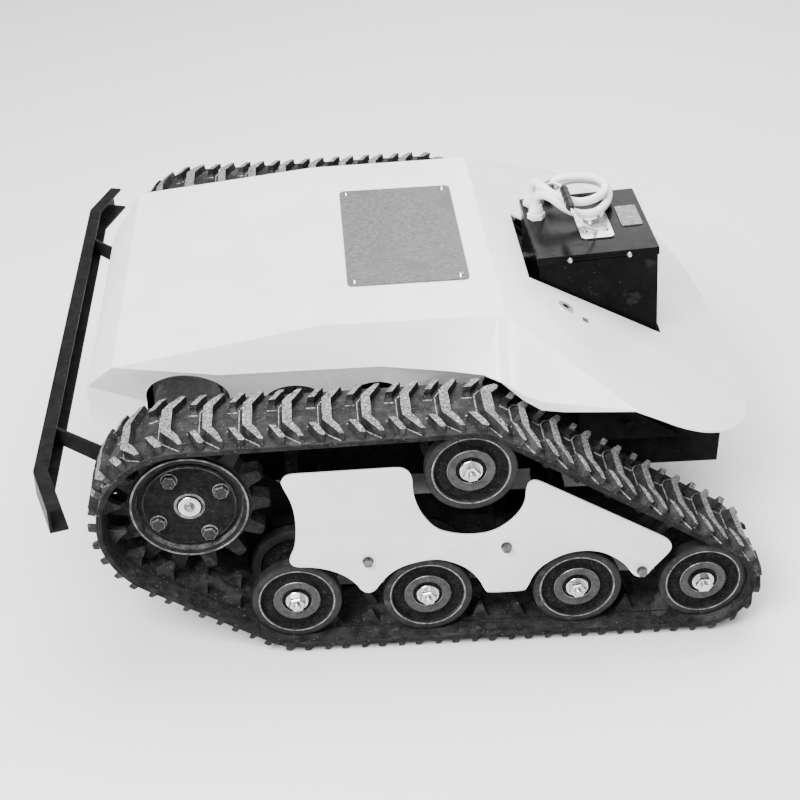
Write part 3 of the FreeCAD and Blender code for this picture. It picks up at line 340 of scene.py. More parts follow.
# ---- cords; the routes are the frame's, in metres ----
CONDUIT_D = 0.015
CONDUIT_1_ROUTE = [
    (0.2443, 0.037, 0.5193), (0.2436, 0.037, 0.5293), (0.2465, 0.0325, 0.539),
    (0.254, 0.0235, 0.545), (0.266, 0.0145, 0.5435), (0.279, 0.007, 0.534),
    (0.295, 0.0005, 0.525), (0.313, -0.004, 0.519), (0.334, -0.003, 0.517),
    (0.356, 0.014, 0.5185), (0.373, 0.046, 0.519), (0.381, 0.084, 0.5215),
    (0.372, 0.114, 0.522), (0.352, 0.132, 0.520), (0.328, 0.138, 0.519),
    (0.304, 0.134, 0.5155), (0.285, 0.119, 0.5115),
]
CONDUIT_2_ROUTE = [
    (0.2443, 0.090, 0.5193), (0.2436, 0.090, 0.5295), (0.245, 0.0835, 0.5395),
    (0.2495, 0.071, 0.5455), (0.256, 0.056, 0.546), (0.265, 0.043, 0.5425),
    (0.278, 0.031, 0.538), (0.295, 0.020, 0.535), (0.314, 0.013, 0.533),
    (0.335, 0.015, 0.5345), (0.355, 0.029, 0.536), (0.370, 0.053, 0.540),
    (0.367, 0.077, 0.542), (0.349, 0.092, 0.544), (0.325, 0.099, 0.5425),
    (0.302, 0.103, 0.540), (0.285, 0.101, 0.5345), (0.2717, 0.094, 0.526),
]
WIRE_D = 0.004
WIRE_ROUTE = [
    (0.2744, 0.1101, 0.5096), (0.266, 0.103, 0.5085), (0.258, 0.091, 0.514),
    (0.260, 0.079, 0.528), (0.267, 0.066, 0.546), (0.277, 0.046, 0.5575),
    (0.2886, 0.026, 0.5566), (0.2894, -0.018, 0.5538), (0.2896, -0.052, 0.5532),
    (0.297, -0.068, 0.5435), (0.309, -0.071, 0.532), (0.322, -0.064, 0.521),
    (0.331, -0.054, 0.513), (0.3349, -0.0455, 0.5096),
]
SLEEVE_ENDS = (Vector((0.2887, 0.024, 0.556)), Vector((0.2895, -0.052, 0.553)))
SLEEVE_R = 0.0070
SLEEVE_WAVES = ((0.00035, 23, 0), (0.00025, 51, 1))     # height, rate and phase of its bulges
NEAR_PINCH, NEAR_SHARE = 0.0022, 0.08    # how far each end draws in, and over what share of it
FAR_PINCH, FAR_SHARE = 0.0012, 0.06
SLEEVE_STEPS = 40
BOOT_LENGTH, BOOT_R = 0.014, 0.0082
FERRULE_LENGTH, FERRULE_R = 0.011, 0.0079
WIRE_STEP = 0.0012


def route_curve(name, route):
    curve = bpy.data.curves.new(name, "CURVE")
    curve.dimensions = "3D"
    curve.resolution_u = 12
    spline = curve.splines.new("NURBS")
    spline.points.add(len(route) - 1)
    for point, at in zip(spline.points, route):
        point.co = (*at, 1)
    spline.order_u = 3
    spline.use_endpoint_u = True
    piece = bpy.data.objects.new(name, curve)
    bpy.context.collection.objects.link(piece)
    return piece


def route_points(route, step):
    """Points on the route's smooth line, a step apart along it."""
    guide = route_curve("route_guide", route)
    bpy.context.view_layer.update()
    mesh = bpy.data.meshes.new_from_object(guide)
    line = [v.co.copy() for v in mesh.vertices]
    bpy.data.meshes.remove(mesh)
    curve = guide.data
    bpy.data.objects.remove(guide)
    bpy.data.curves.remove(curve)
    total = sum((b - a).length for a, b in zip(line, line[1:]))
    count = max(4, round(total / step))
    points, walked, index = [line[0]], 0.0, 0
    for k in range(1, count):
        target = total * k / count
        while walked + (line[index + 1] - line[index]).length < target:
            walked += (line[index + 1] - line[index]).length
            index += 1
        span = line[index + 1] - line[index]
        points.append(line[index] + span * ((target - walked) / span.length))
    return points + [line[-1]], total


def tube_along(bm, points, radius_at, sides=20):
    """A tube whose radius at a distance along the line is radius_at(distance)."""
    tangent = (points[1] - points[0]).normalized()
    across = tangent.orthogonal().normalized()
    walked, rings = 0.0, []
    for i, point in enumerate(points):
        ahead = points[min(i + 1, len(points) - 1)] - points[max(i - 1, 0)]
        turned = tangent.rotation_difference(ahead.normalized())
        across = (turned @ across).normalized()
        tangent = ahead.normalized()
        third = tangent.cross(across)
        if i:
            walked += (point - points[i - 1]).length
        radius = radius_at(walked)
        rings.append([bm.verts.new(point + radius * (math.cos(a) * across + math.sin(a) * third))
                      for a in round_angles(sides)])
    for first, second in zip(rings, rings[1:]):
        band(bm, first, second)
    bm.faces.new(rings[0][::-1])
    bm.faces.new(rings[-1])


RIB_PITCH = 0.0042
RIB_DEPTH = 0.0005
STEPS_PER_RIB = 6


def make_conduit(name, route, node):
    points, total = route_points(route, RIB_PITCH / STEPS_PER_RIB)

    def ribbed(distance):
        wave = 0.5 - 0.5 * math.cos(2 * math.pi * distance / RIB_PITCH)
        return CONDUIT_D / 2 - RIB_DEPTH * wave * wave

    bm = bmesh.new()
    tube_along(bm, points, ribbed)
    piece = mesh_object(name, bm, ["conduit_white"], 60, scale=1)
    finish_piece(piece, "chassis", "white_conduit", node)
    return piece, points, total


COLLAR_STEP, COLLAR_LIP, COLLAR_ROUND = 0.0015, 0.0006, 0.002


def collar(bm, start, end, radius):
    """A short sleeve between two points with rounded rims."""
    length = (end - start).length
    steps = max(8, int(length / COLLAR_STEP))
    points = [start.lerp(end, k / steps) for k in range(steps + 1)]

    def rounded(distance):
        edge = min(distance, length - distance)
        return radius - COLLAR_LIP * max(0.0, 1 - edge / COLLAR_ROUND) ** 2

    tube_along(bm, points, rounded, 24)


def make_sleeves():
    """The wire's uneven shrink sleeve, and the boot on the front conduit's end."""
    bm = bmesh.new()
    start, end = SLEEVE_ENDS
    length = (end - start).length
    line = [start.lerp(end, k / SLEEVE_STEPS) for k in range(SLEEVE_STEPS + 1)]

    def shrunk(distance):
        part = distance / length
        bulge = sum(height * math.sin(part * rate + phase) for height, rate, phase in SLEEVE_WAVES)
        pinch = (NEAR_PINCH * max(0.0, 1 - part / NEAR_SHARE) ** 2
                 + FAR_PINCH * max(0.0, (part - (1 - FAR_SHARE)) / FAR_SHARE))
        return SLEEVE_R + bulge - pinch

    tube_along(bm, line, shrunk, 24)
    last = Vector(CONDUIT_1_ROUTE[-1])
    ahead = (last - Vector(CONDUIT_1_ROUTE[-2])).normalized()
    collar(bm, last, last + ahead * BOOT_LENGTH, BOOT_R)
    sleeves = mesh_object("shrink_sleeves", bm, ["shrink_tube"], 40, scale=1)
    finish_piece(sleeves, "chassis", "black_plastic", "cable_sleeves")
    return sleeves


def make_ferrule(conduit):
    """A steel ferrule round the last stretch of a conduit's line of points."""
    bm = bmesh.new()
    ahead = (conduit[-1] - conduit[-2 * STEPS_PER_RIB]).normalized()
    collar(bm, conduit[-1] - ahead * FERRULE_LENGTH, conduit[-1], FERRULE_R)
    ferrule = mesh_object("conduit_ferrule", bm, ["dull_steel"], 40, scale=1)
    finish_piece(ferrule, "chassis", "bare_steel")
    return ferrule


def make_cords():
    first, points_1, length_1 = make_conduit("conduit_front", CONDUIT_1_ROUTE, "cable_conduit_1")
    second, points_2, length_2 = make_conduit("conduit_rear", CONDUIT_2_ROUTE, "cable_conduit_2")
    sleeves = make_sleeves()
    ferrule = make_ferrule(points_2)
    wire_line, wire_length = route_points(WIRE_ROUTE, WIRE_STEP)
    bm = bmesh.new()
    tube_along(bm, wire_line, lambda distance: WIRE_D / 2, 12)
    wire = mesh_object("signal_lead", bm, ["wire_white"], 60, scale=1)
    finish_piece(wire, "chassis", "white_conduit", "signal_wire")


make_cords()


# ---- track belts ----
def track_runs():
    """Straight runs and arcs of the belt's inner face, clockwise from the sprocket's top."""
    def circle(name, radius):
        x, _, z = WHEEL_CENTRE[name]
        return (x, z, radius)

    wheel = WHEEL_R + BELT_GAP
    circles = [(SPROCKET_X, SPROCKET_Z, SPROCKET_BELT_R), circle("top_roller", wheel),
               circle("front_idler", wheel), circle("road_wheel_1", wheel)]
    normals = []
    for i, (x, z, r) in enumerate(circles):
        x2, z2, r2 = circles[(i + 1) % 4]
        dist = math.hypot(x2 - x, z2 - z)
        dx, dz = (x2 - x) / dist, (z2 - z) / dist
        along = (r - r2) / dist
        out = math.sqrt(1 - along * along)
        normals.append((dx * along - dz * out, dz * along + dx * out))
    runs = []
    for i, (x, z, r) in enumerate(circles):
        x2, z2, r2 = circles[(i + 1) % 4]
        nx, nz = normals[i]
        start, end = (x + nx * r, z + nz * r), (x2 + nx * r2, z2 + nz * r2)
        runs.append(("line", math.dist(start, end), start, end, (nx, nz)))
        a0 = math.atan2(nz, nx)
        a1 = math.atan2(normals[(i + 1) % 4][1], normals[(i + 1) % 4][0])
        turn = (a0 - a1) % (2 * math.pi)
        runs.append(("arc", (r2 + BELT_THICK / 2) * turn, (x2, z2, r2), a0, turn))
    return runs


RUNS = track_runs()
TRACK_LENGTH = sum(run[1] for run in RUNS)
PITCH = TRACK_LENGTH / LINKS


def on_track(distance, across, height, side):
    """Frame point at a distance along the belt, across from its middle and above its inner face."""
    distance %= TRACK_LENGTH
    for run in RUNS:
        if distance <= run[1]:
            break
        distance -= run[1]
    part = distance / run[1]
    if run[0] == "line":
        (x0, z0), (x1, z1), (nx, nz) = run[2:]
        x, z = x0 + (x1 - x0) * part + nx * height, z0 + (z1 - z0) * part + nz * height
    else:
        (cx, cz, radius), angle = run[2], run[3] - run[4] * part
        x = cx + (radius + height) * math.cos(angle)
        z = cz + (radius + height) * math.sin(angle)
    return Vector((x, side * (TRACK_Y + across), z))


ARC_STEP, STRAIGHT_STEP = 12.0, 45.0      # how far apart the belt's rings of vertices stand


def belt_stations():
    stations, start = [], 0.0
    for run in RUNS:
        count = max(2, round(run[1] / (ARC_STEP if run[0] == "arc" else STRAIGHT_STEP)))
        stations += [start + run[1] * k / count for k in range(count)]
        start += run[1]
    return stations


def belt_section():
    """Outline of the belt (across, height): layered sides, plain faces."""
    half, thick = BELT_HALF, BELT_THICK
    side = [(half - 1.2, thick), (half, thick - 1.0), (half, thick - 2.4), (half - 0.9, thick - 2.9),
            (half - 0.9, thick - 3.4), (half, thick - 3.9), (half, thick - 5.6),
            (half - 0.9, thick - 6.1), (half - 0.9, thick - 6.6), (half, thick - 7.1),
            (half, 1.0), (half - 1.2, 0.0)]
    inner = [(38.0, 0.0), (35.0, 0.0)]
    right = side + inner
    return right + [(-v, n) for v, n in reversed(right)]


LONG_LUG = [(-16, -30), (-16.5, 0), (-16, 30), (-7, 45), (5, 62), (7.5, 66), (14.5, 67), (16.5, 64),
            (7, 46), (-2.5, 28), (-2, 0), (-2.5, -28), (7, -46), (16.5, -64), (14.5, -67), (7.5, -66),
            (5, -62), (-7, -45)]
SHORT_LUG = [(-7, 35), (5.5, 62), (8, 66), (15, 67), (17, 64), (11, 52), (3, 36)]
LUG_RIDGE = [(11, -68.5), (-13, -46), (-21, -31), (-21, 31), (-13, 46), (11, 68.5)]
MIDDLE_BLOCK = [(-6, 27), (-7, 36), (3, 37), (3.5, 27)]
LUG_ROOT = 1.5                # how deep a lug starts inside the belt
LUG_SHY = 0.05                # keeps the lugs' tops inside the frame's box
LUG_END_DROP = 3.0            # how much lower a lug is at its ends, past LUG_LEVEL
LUG_LEVEL, LUG_END = 52.0, 67.0
LUG_FLARE, LUG_SPREAD = 1.2, 1.008        # how much wider and longer a lug is at its root
LUG_LEAN = (1.6, -1.0)        # how far its top draws in on its rear and front edges
LUG_TOP_SHARE = 0.985         # its top's length as a share of the outline's
CHEVRON_SLOPE = 0.22          # how far a lug's middle line runs forward per step across
STEP_RISE, BLOCK_RISE, STEP_AT = 3.0, 6.0, 30
TREAD_FINISHES = ["belt_rubber", "lug_top", "worn_edge", "worn_edge", "belt_side"]
RUBBER, LUG_FACE, LUG_EDGE, GUIDE_EDGE, BELT_SIDE = range(5)


def lug_template(outline):
    """Bevelled lug in flat space: x along, y across, z above the belt's inner face."""
    bm = bmesh.new()
    mid_u = sum(u for u, _ in outline) / len(outline)

    def place(point, end):
        u, v = point
        if not end:
            flare = LUG_FLARE if u > mid_u else -LUG_FLARE
            return (u + flare, v * LUG_SPREAD, BELT_THICK - LUG_ROOT)
        reach = max(0.0, (abs(v) - LUG_LEVEL) / (LUG_END - LUG_LEVEL))
        shift = LUG_LEAN[0] if u < mid_u + abs(v) * CHEVRON_SLOPE else LUG_LEAN[1]
        return (u + shift, v * LUG_TOP_SHARE, LUG_TOP - LUG_SHY - LUG_END_DROP * reach)

    prism(bm, outline, place, RUBBER, LUG_FACE)
    bevel_all(bm, 0.9, 2, 25, LUG_EDGE)
    return bm


def add_mapped(target, template, distance, side):
    """Copies a flat template onto the belt, bending it with the belt."""
    copies = {}
    for vert in template.verts:
        u, v, n = vert.co
        copies[vert] = target.verts.new(on_track(distance + u, v, n, side))
    for face in template.faces:
        copy = target.faces.new([copies[v] for v in face.verts])
        copy.material_index = face.material_index


RIDGE_ROOT = 0.5


def ridge_template(points, width, height):
    """A thin raised line on the belt's outer face."""
    bm = bmesh.new()
    for (u0, v0), (u1, v1) in zip(points, points[1:]):
        length = math.dist((u0, v0), (u1, v1))
        px, py = -(v1 - v0) / length * width / 2, (u1 - u0) / length * width / 2
        outline = [(u0 - px, v0 - py), (u1 - px, v1 - py), (u1 + px, v1 + py), (u0 + px, v0 + py)]

        def place(point, end):
            return (point[0], point[1], BELT_THICK - RIDGE_ROOT + end * (height + RIDGE_ROOT))

        prism(bm, outline, place, LUG_EDGE)
    bevel_all(bm, 0.35, 1, 25, LUG_EDGE)
    return bm


def block_template(sign):
    """A low stepped block beside the belt's middle, between two long lugs."""
    bm = bmesh.new()

    def place(point, end):
        rise = BLOCK_RISE if abs(point[1]) > STEP_AT else STEP_RISE
        return (point[0], point[1], BELT_THICK - 1 + end * rise)

    prism(bm, [(u, v * sign) for u, v in MIDDLE_BLOCK], place, RUBBER)
    bevel_all(bm, 0.8, 2, 25)
    return bm


def guide_template(side):
    """A guide lug on the belt's inner face, narrower at its tip."""
    bm = bmesh.new()
    outline = [(-17, 2.0), (17, 2.0), (9, -12.0), (3.5, -GUIDE_HEIGHT), (-3.5, -GUIDE_HEIGHT),
               (-9, -12.0)]

    def place(point, end):
        u, n = point
        depth = max(0.0, -n / GUIDE_HEIGHT)
        low = GUIDE_INNER + GUIDE_TAPER[0] * depth
        high = GUIDE_OUTER - GUIDE_TAPER[1] * depth
        return (u, side * (high if end else low), n)

    prism(bm, outline, place, RUBBER)
    bevel_all(bm, 1.1, 2, 30, GUIDE_EDGE)
    return bm


def belt_loop(bm, side):
    """The plain belt, as one closed band of rings."""
    section = belt_section()
    rings = [[bm.verts.new(on_track(s, v, n, side)) for v, n in section] for s in belt_stations()]
    for i, first in enumerate(rings):
        second = rings[(i + 1) % len(rings)]
        for k in range(len(section)):
            j = (k + 1) % len(section)
            face = bm.faces.new((first[k], first[j], second[j], second[k]))
            flat = section[k][1] == section[j][1] and abs(section[k][0] - section[j][0]) > 3
            face.material_index = RUBBER if flat else BELT_SIDE


def make_belt(name, side):
    bm = bmesh.new()
    belt_loop(bm, side)
    at_lug = [lug_template(LONG_LUG), ridge_template(LUG_RIDGE, 1.3, 1.4)]
    half_on = [lug_template([(u, v * sign) for u, v in SHORT_LUG]) for sign in (-1, 1)]
    half_on += [block_template(sign) for sign in (-1, 1)]
    half_on += [ridge_template([(-9, v), (5, v)], 1.6, 1.5) for v in (25, -25)]
    guides = [guide_template(-1), guide_template(1)]
    for i in range(LINKS):
        at = FIRST_LUG + i * PITCH
        for distance, templates in ((at, at_lug), (at + PITCH / 2, half_on), (at, guides)):
            for template in templates:
                add_mapped(bm, template, distance, side)
    for template in at_lug + half_on + guides:
        template.free()
    piece = mesh_object(name, bm, TREAD_FINISHES)
    finish_piece(piece, "chassis", "track_rubber", name.replace("tread", "belt"))


for side_name, side in SIDES:
    make_belt("%s_track_tread" % side_name, side)


# ---- wheels ----
WHEEL_FINISHES = ["wheel_rubber", "wheel_web", "wheel_edge", "wheel_hub"]
TYRE, WEB, EDGE, HUB = range(4)
WHEEL_BORE_R = 12.4
HUB_TUBE_HALF, HUB_TUBE_R = 34, 30
AXLE_R = 11.9
AXLE_ROOT, ROLLER_AXLE_ROOT = 312, 346    # how far out from the middle plane the axles start
NUT_ACROSS, NUT_DEPTH = 24.0, 10.5
AXLE_RECESS = 4               # from the wheel's face in to the end of its axle's full width


def wheel_disc(bm, centre, outward):
    """One rubber-tyred disc; outward is +1 for the disc facing away from the machine."""
    face = TRACK_Y + outward * WHEEL_HALF

    def at(depth):
        return face - outward * depth

    tyre = [(22.0, 57.0), (22.0, 68.5), (20.5, 70.8), (18.0, WHEEL_R), (4.0, WHEEL_R), (1.4, 70.6),
            (0.2, 68.0), (0.0, 66.0), (0.5, 62.5), (1.4, 60.4), (1.6, 57.0)]
    lathe(bm, [(at(depth), radius, TYRE) for depth, radius in tyre], centre)
    rim = [(0.6, 60.6, EDGE), (0.3, 59.6, EDGE), (0.9, 58.4, WEB), (6.0, 57.0, WEB),
           (10.5, 55.0, WEB), (11.6, 51.0, WEB), (11.2, 44.0, WEB), (10.6, 40.0, WEB),
           (7.0, 38.2, WEB), (2.8, 37.2, EDGE), (2.0, 36.4, HUB), (2.2, 34.8, HUB),
           (2.6, 26.5, HUB), (3.1, 24.4, EDGE), (4.0, 23.6, WEB), (6.5, 23.0, WEB),
           (6.8, WHEEL_BORE_R, WEB), (21.0, WHEEL_BORE_R, WEB), (21.0, 36.0, WEB),
           (18.0, 38.0, WEB), (17.0, 55.0, WEB), (21.5, 57.5, WEB), (21.5, 59.5, WEB)]
    lathe(bm, [(at(depth), radius, finish) for depth, radius, finish in rim], centre)


def make_wheel(side_name, side, wheel):
    centre = WHEEL_CENTRE[wheel]
    tyre_and_rim = bmesh.new()
    for outward in (-1, 1):
        wheel_disc(tyre_and_rim, centre, outward)
    low, high = TRACK_Y - HUB_TUBE_HALF, TRACK_Y + HUB_TUBE_HALF
    lathe(tyre_and_rim, [(low, WHEEL_BORE_R, WEB), (low, HUB_TUBE_R, WEB), (high, HUB_TUBE_R, WEB),
                         (high, WHEEL_BORE_R, WEB)], centre)
    if side < 0:
        mirror_y(tyre_and_rim)
    body = "%s_%s" % (side_name, wheel)
    piece = mesh_object(body + "_wheel", tyre_and_rim, WHEEL_FINISHES, 40)
    finish_piece(piece, body, "wheel_rubber", body + "_rim", body + "_tyre")


def axle_end(bm, x, z):
    """Washer, nut and domed stub on the outer end of an axle."""
    face = TRACK_Y + WHEEL_HALF
    washer = [(-5.5, 12.0), (-5.5, 17.6), (-4.6, 18.2), (-1.2, 18.2), (-0.4, 17.4), (-0.4, 12.0)]
    stub = [(8, 0.2), (8, 6.4), (14.0, 6.2), (16.0, 4.8), (16.8, 2.8), (17.0, 0.2)]
    lathe(bm, [(face + y, radius) for y, radius in washer], (x, 0, z), 48)
    nut(bm, x, z, face - 0.4, face + NUT_DEPTH, NUT_ACROSS, turn=12)
    lathe(bm, [(face + y, radius) for y, radius in stub], (x, 0, z), 32)


def make_axles():
    """The fixed axles of both sides; a front idler's axle belongs to its carriage."""
    bm = bmesh.new()
    end = TRACK_Y + WHEEL_HALF - AXLE_RECESS
    for side in (1, -1):
        half = bmesh.new()
        for wheel in WHEELS:
            if wheel == "front_idler":
                continue
            x, _, z = WHEEL_CENTRE[wheel]
            root = ROLLER_AXLE_ROOT if wheel == "top_roller" else AXLE_ROOT
            lathe(half, [(root, 0.2), (root, AXLE_R), (end, AXLE_R), (end, 0.2)], (x, 0, z), 40)
            axle_end(half, x, z)
        if side < 0:
            mirror_y(half)
        scratch = bpy.data.meshes.new("axle_half")
        half.to_mesh(scratch)
        bm.from_mesh(scratch)
        bpy.data.meshes.remove(scratch)
        half.free()
    piece = mesh_object("wheel_axle_set", bm, ["bright_steel"], 30)
    finish_piece(piece, "chassis", "bare_steel", "wheel_axles")


make_axles()
for side_name, side in SIDES:
    for wheel in WHEELS:
        make_wheel(side_name, side, wheel)


# ---- sprockets ----
TEETH = 14
TOOTH_TIP_R, TOOTH_ROOT_R = 124.8, 97.2
TOOTH_SIDE = ((TOOTH_ROOT_R, 0.33), (TOOTH_ROOT_R + 3, 0.285), (112.0, 0.215), (120.5, 0.175),
              (123.8, 0.135), (TOOTH_TIP_R, 0.07))     # radius, and share of a tooth's pitch
RING_HALF = 13.8
TOOTH_CHAMFER = 1.2
RING_FACE_R = 90              # where the flat sides of the teeth end
BOLT_RING_R, BOLT_START = 57.0, 29.0
SPROCKET_CENTRE = (SPROCKET_X, 0, SPROCKET_Z)


def tooth_outline():
    corners = [(radius, -share) for radius, share in TOOTH_SIDE] + list(reversed(TOOTH_SIDE))
    pitch = 2 * math.pi / TEETH
    return [(SPROCKET_X + radius * math.cos(i * pitch + share * pitch),
             SPROCKET_Z + radius * math.sin(i * pitch + share * pitch))
            for i in range(TEETH) for radius, share in corners]


def make_tooth_ring(side_name, side):
    bm = bmesh.new()
    outline = tooth_outline()
    front, back = TRACK_Y + RING_HALF, TRACK_Y - RING_HALF
    rows = []
    for y, inset in ((back, TOOTH_CHAMFER), (back + TOOTH_CHAMFER, 0.0),
                     (front - TOOTH_CHAMFER, 0.0), (front, TOOTH_CHAMFER)):
        row = []
        for x, z in outline:
            radius = math.dist((x, z), (SPROCKET_X, SPROCKET_Z))
            scale = (radius - inset) / radius
            row.append(bm.verts.new((SPROCKET_X + (x - SPROCKET_X) * scale, y,
                                     SPROCKET_Z + (z - SPROCKET_Z) * scale)))
        rows.append(row)
    for first, second in zip(rows, rows[1:]):
        band(bm, first, second)
    for row in (rows[0], rows[-1]):
        inner = []
        for x, z in outline:
            angle = math.atan2(z - SPROCKET_Z, x - SPROCKET_X)
            inner.append(bm.verts.new((SPROCKET_X + RING_FACE_R * math.cos(angle), row[0].co.y,
                                       SPROCKET_Z + RING_FACE_R * math.sin(angle))))
        band(bm, row, inner)
    lathe(bm, [(back + 0.3, 41.0), (back + 0.3, 90.6), (front - 0.6, 91.0), (front + 4.6, 92.0, 1),
               (front + 5.8, 91.4, 1), (front + 6.0, 89.6, 1), (front + 5.6, 88.4),
               (front + 4.4, 83.4), (front + 4.0, 82.2, 1), (front - 6.0, 80.6),
               (front - 7.4, 79.0), (front - 7.6, 41.0)], SPROCKET_CENTRE, 112)
    if side < 0:
        mirror_y(bm)
    ring = mesh_object(side_name + "_tooth_ring", bm, ["cast_iron", "iron_edge"], 28)
    finish_piece(ring, side_name + "_sprocket", "cast_iron", side_name + "_sprocket_ring")


def make_hub_disc(side_name, side):
    """The shaft and disc, the washer on its middle, and the shaft's end with a small bolt."""
    shaft = [(215 - TRACK_Y, 0.3), (215 - TRACK_Y, 14.9), (-24, 14.9), (-24, 39.5), (6.2, 39.7),
             (6.4, 70.8), (7.4, 72.0, 1), (13.0, 72.0, 1), (14.0, 71.0), (14.2, 25.0),
             (14.8, 24.0, 1), (14.8, 20.0), (13.8, 19.0), (13.8, 0.3)]
    washer = [(14, 8.5, 2), (14, 17.8, 2), (16.8, 18.0, 2), (17.6, 17.2, 2), (17.4, 8.5, 2)]
    stub = [(13, 0.3, 3), (13, 8.6, 3), (19.0, 8.4, 3), (20.0, 7.4, 3), (20.0, 0.3, 3)]
    bm = bmesh.new()
    for profile, steps in ((shaft, 96), (washer, 48), (stub, 32)):
        lathe(bm, [(TRACK_Y + y, *rest) for y, *rest in profile], SPROCKET_CENTRE, steps)
    nut(bm, SPROCKET_X, SPROCKET_Z, TRACK_Y + 19.6, TRACK_Y + 24, 10.0, 3, turn=8)
    if side < 0:
        mirror_y(bm)
    hub = mesh_object(side_name + "_hub_disc", bm,
                      ["wheel_web", "iron_edge", "bright_steel", "dull_steel"], 30)
    finish_piece(hub, side_name + "_sprocket", "hub_steel", side_name + "_drive_hub")


def make_hub_bolts(side_name, side):
    washer = [(14.2, 0.3), (14.2, 13.0), (15.6, 13.2), (16.2, 12.6), (16.2, 0.3)]
    bm = bmesh.new()
    for k in range(4):
        angle = math.radians(BOLT_START + 90 * k)
        x = SPROCKET_X + BOLT_RING_R * math.cos(angle)
        z = SPROCKET_Z + BOLT_RING_R * math.sin(angle)
        lathe(bm, [(TRACK_Y + y, radius) for y, radius in washer], (x, 0, z), 32)
        nut(bm, x, z, TRACK_Y + 16, TRACK_Y + 23.8, 21.5, turn=15 + 37 * k)
        nut(bm, x, z, TRACK_Y - 26, TRACK_Y - 14, 22.0, turn=20 * k)
    if side < 0:
        mirror_y(bm)
    bevel_all(bm, 0.9, 2, 30, 1)
    bolts = mesh_object(side_name + "_hub_bolts", bm, ["bolt_black", "wheel_edge"], 30)
    finish_piece(bolts, side_name + "_sprocket", "zinc_steel", side_name + "_sprocket_bolts")


for side_name, side in SIDES:
    make_tooth_ring(side_name, side)
    make_hub_disc(side_name, side)
    make_hub_bolts(side_name, side)


# ---- side covers ----
COVER_Y, COVER_SHEET = 504.0, 3.0
COVER_OUTLINE = [
    (-211, 338), (-202, 349), (-27, 352), (-13, 341), (-13, 311), (-3, 276), (20, 242), (43, 231),
    (77, 225), (111, 229), (139, 249), (157, 275), (161, 306), (166, 315), (178, 317), (387, 198),
    (394, 186), (392, 174), (366, 142), (358, 128), (347, 125), (336, 131), (323, 152), (302, 170),
    (281, 181), (256, 185), (226, 181), (196, 164), (178, 144), (168, 115), (161, 107), (108, 107),
    (101, 115), (92, 137), (74, 160), (47, 176), (20, 183), (-21, 175), (-46, 161), (-64, 139),
    (-71, 126), (-83, 120), (-94, 127), (-102, 142), (-120, 159), (-145, 172), (-170, 178),
    (-194, 179), (-203, 187), (-203, 198), (-194, 218), (-191, 250), (-192, 283), (-198, 309),
    (-208, 331)]
COVER_FOLDS = (((-220, 319), (0, 319), 22.0), ((150, 289), (420, 173), 22.0),
               ((180, 116), (90, 116), 40.0))
BEND_R, BEND_STEPS = 16.0, 5
ROUND_SHARE, ROUND_CUT, LONG_EDGE = 0.25, 6.0, 60


def rounded_outline(points, rounds=2):
    """Cuts every corner of a closed outline, again and again, and less deep on long edges."""
    for _ in range(rounds):
        cut = []
        for (x0, z0), (x1, z1) in zip(points, points[1:] + points[:1]):
            length = math.dist((x0, z0), (x1, z1))
            near = ROUND_SHARE if length < LONG_EDGE else ROUND_CUT / length
            cut += [(x0 + (x1 - x0) * near, z0 + (z1 - z0) * near),
                    (x1 - (x1 - x0) * near, z1 - (z1 - z0) * near)]
        points = cut
    return points


def fold_lines():
    """Each fold of the cover as its start, its direction and its angle in radians."""
    lines = []
    for start, end, degrees in COVER_FOLDS:
        length = math.dist(start, end)
        unit = ((end[0] - start[0]) / length, (end[1] - start[1]) / length)
        lines.append((start, unit, math.radians(degrees)))
    return lines


def fold_vertex(co, start, unit, angle):
    """Rolls a point that lies past a fold line inwards round the bend radius."""
    past = -(co.x - start[0]) * unit[1] + (co.z - start[1]) * unit[0]
    if past <= 0:
        return
    length = BEND_R * angle
    turned = min(past, length) / BEND_R
    rest = max(0.0, past - length)
    reach = BEND_R * math.sin(turned) + rest * math.cos(angle)
    drop = BEND_R * (1 - math.cos(turned)) + rest * math.sin(angle)
    co.x += -unit[1] * (reach - past)
    co.z += unit[0] * (reach - past)
    co.y -= drop


def make_side_cover(side_name, side):
    bm = bmesh.new()
    ring = [bm.verts.new((x, COVER_Y, z)) for x, z in rounded_outline(COVER_OUTLINE)]
    bm.faces.new(ring)
    for start, unit, angle in fold_lines():
        for step in range(BEND_STEPS + 1):
            past = BEND_R * angle * step / BEND_STEPS
            geometry = bm.verts[:] + bm.edges[:] + bm.faces[:]
            bmesh.ops.bisect_plane(bm, geom=geometry,
                                   plane_co=(start[0] - unit[1] * past, 0, start[1] + unit[0] * past),
                                   plane_no=(-unit[1], 0, unit[0]))
    for start, unit, angle in fold_lines():
        for vert in bm.verts:
            fold_vertex(vert.co, start, unit, angle)
    grown = bmesh.ops.extrude_face_region(bm, geom=bm.faces[:])
    for vert in (item for item in grown["geom"] if isinstance(item, bmesh.types.BMVert)):
        vert.co.y += COVER_SHEET
    bevel_all(bm, 0.8, 2, 50)
    if side < 0:
        mirror_y(bm)
    # The covers take the darker copy of the white paint, which is painted shade.
    piece = mesh_object(side_name + "_cover_plate", bm, ["cover_white_painted_shade"], 40)
    finish_piece(piece, "chassis", "white_paint", side_name + "_side_cover")


for side_name, side in SIDES:
    make_side_cover(side_name, side)


# ---- top plate and the terminal's screws ----
PLATE_CORNER, PLATE_SHEET = 10.0, 2.5


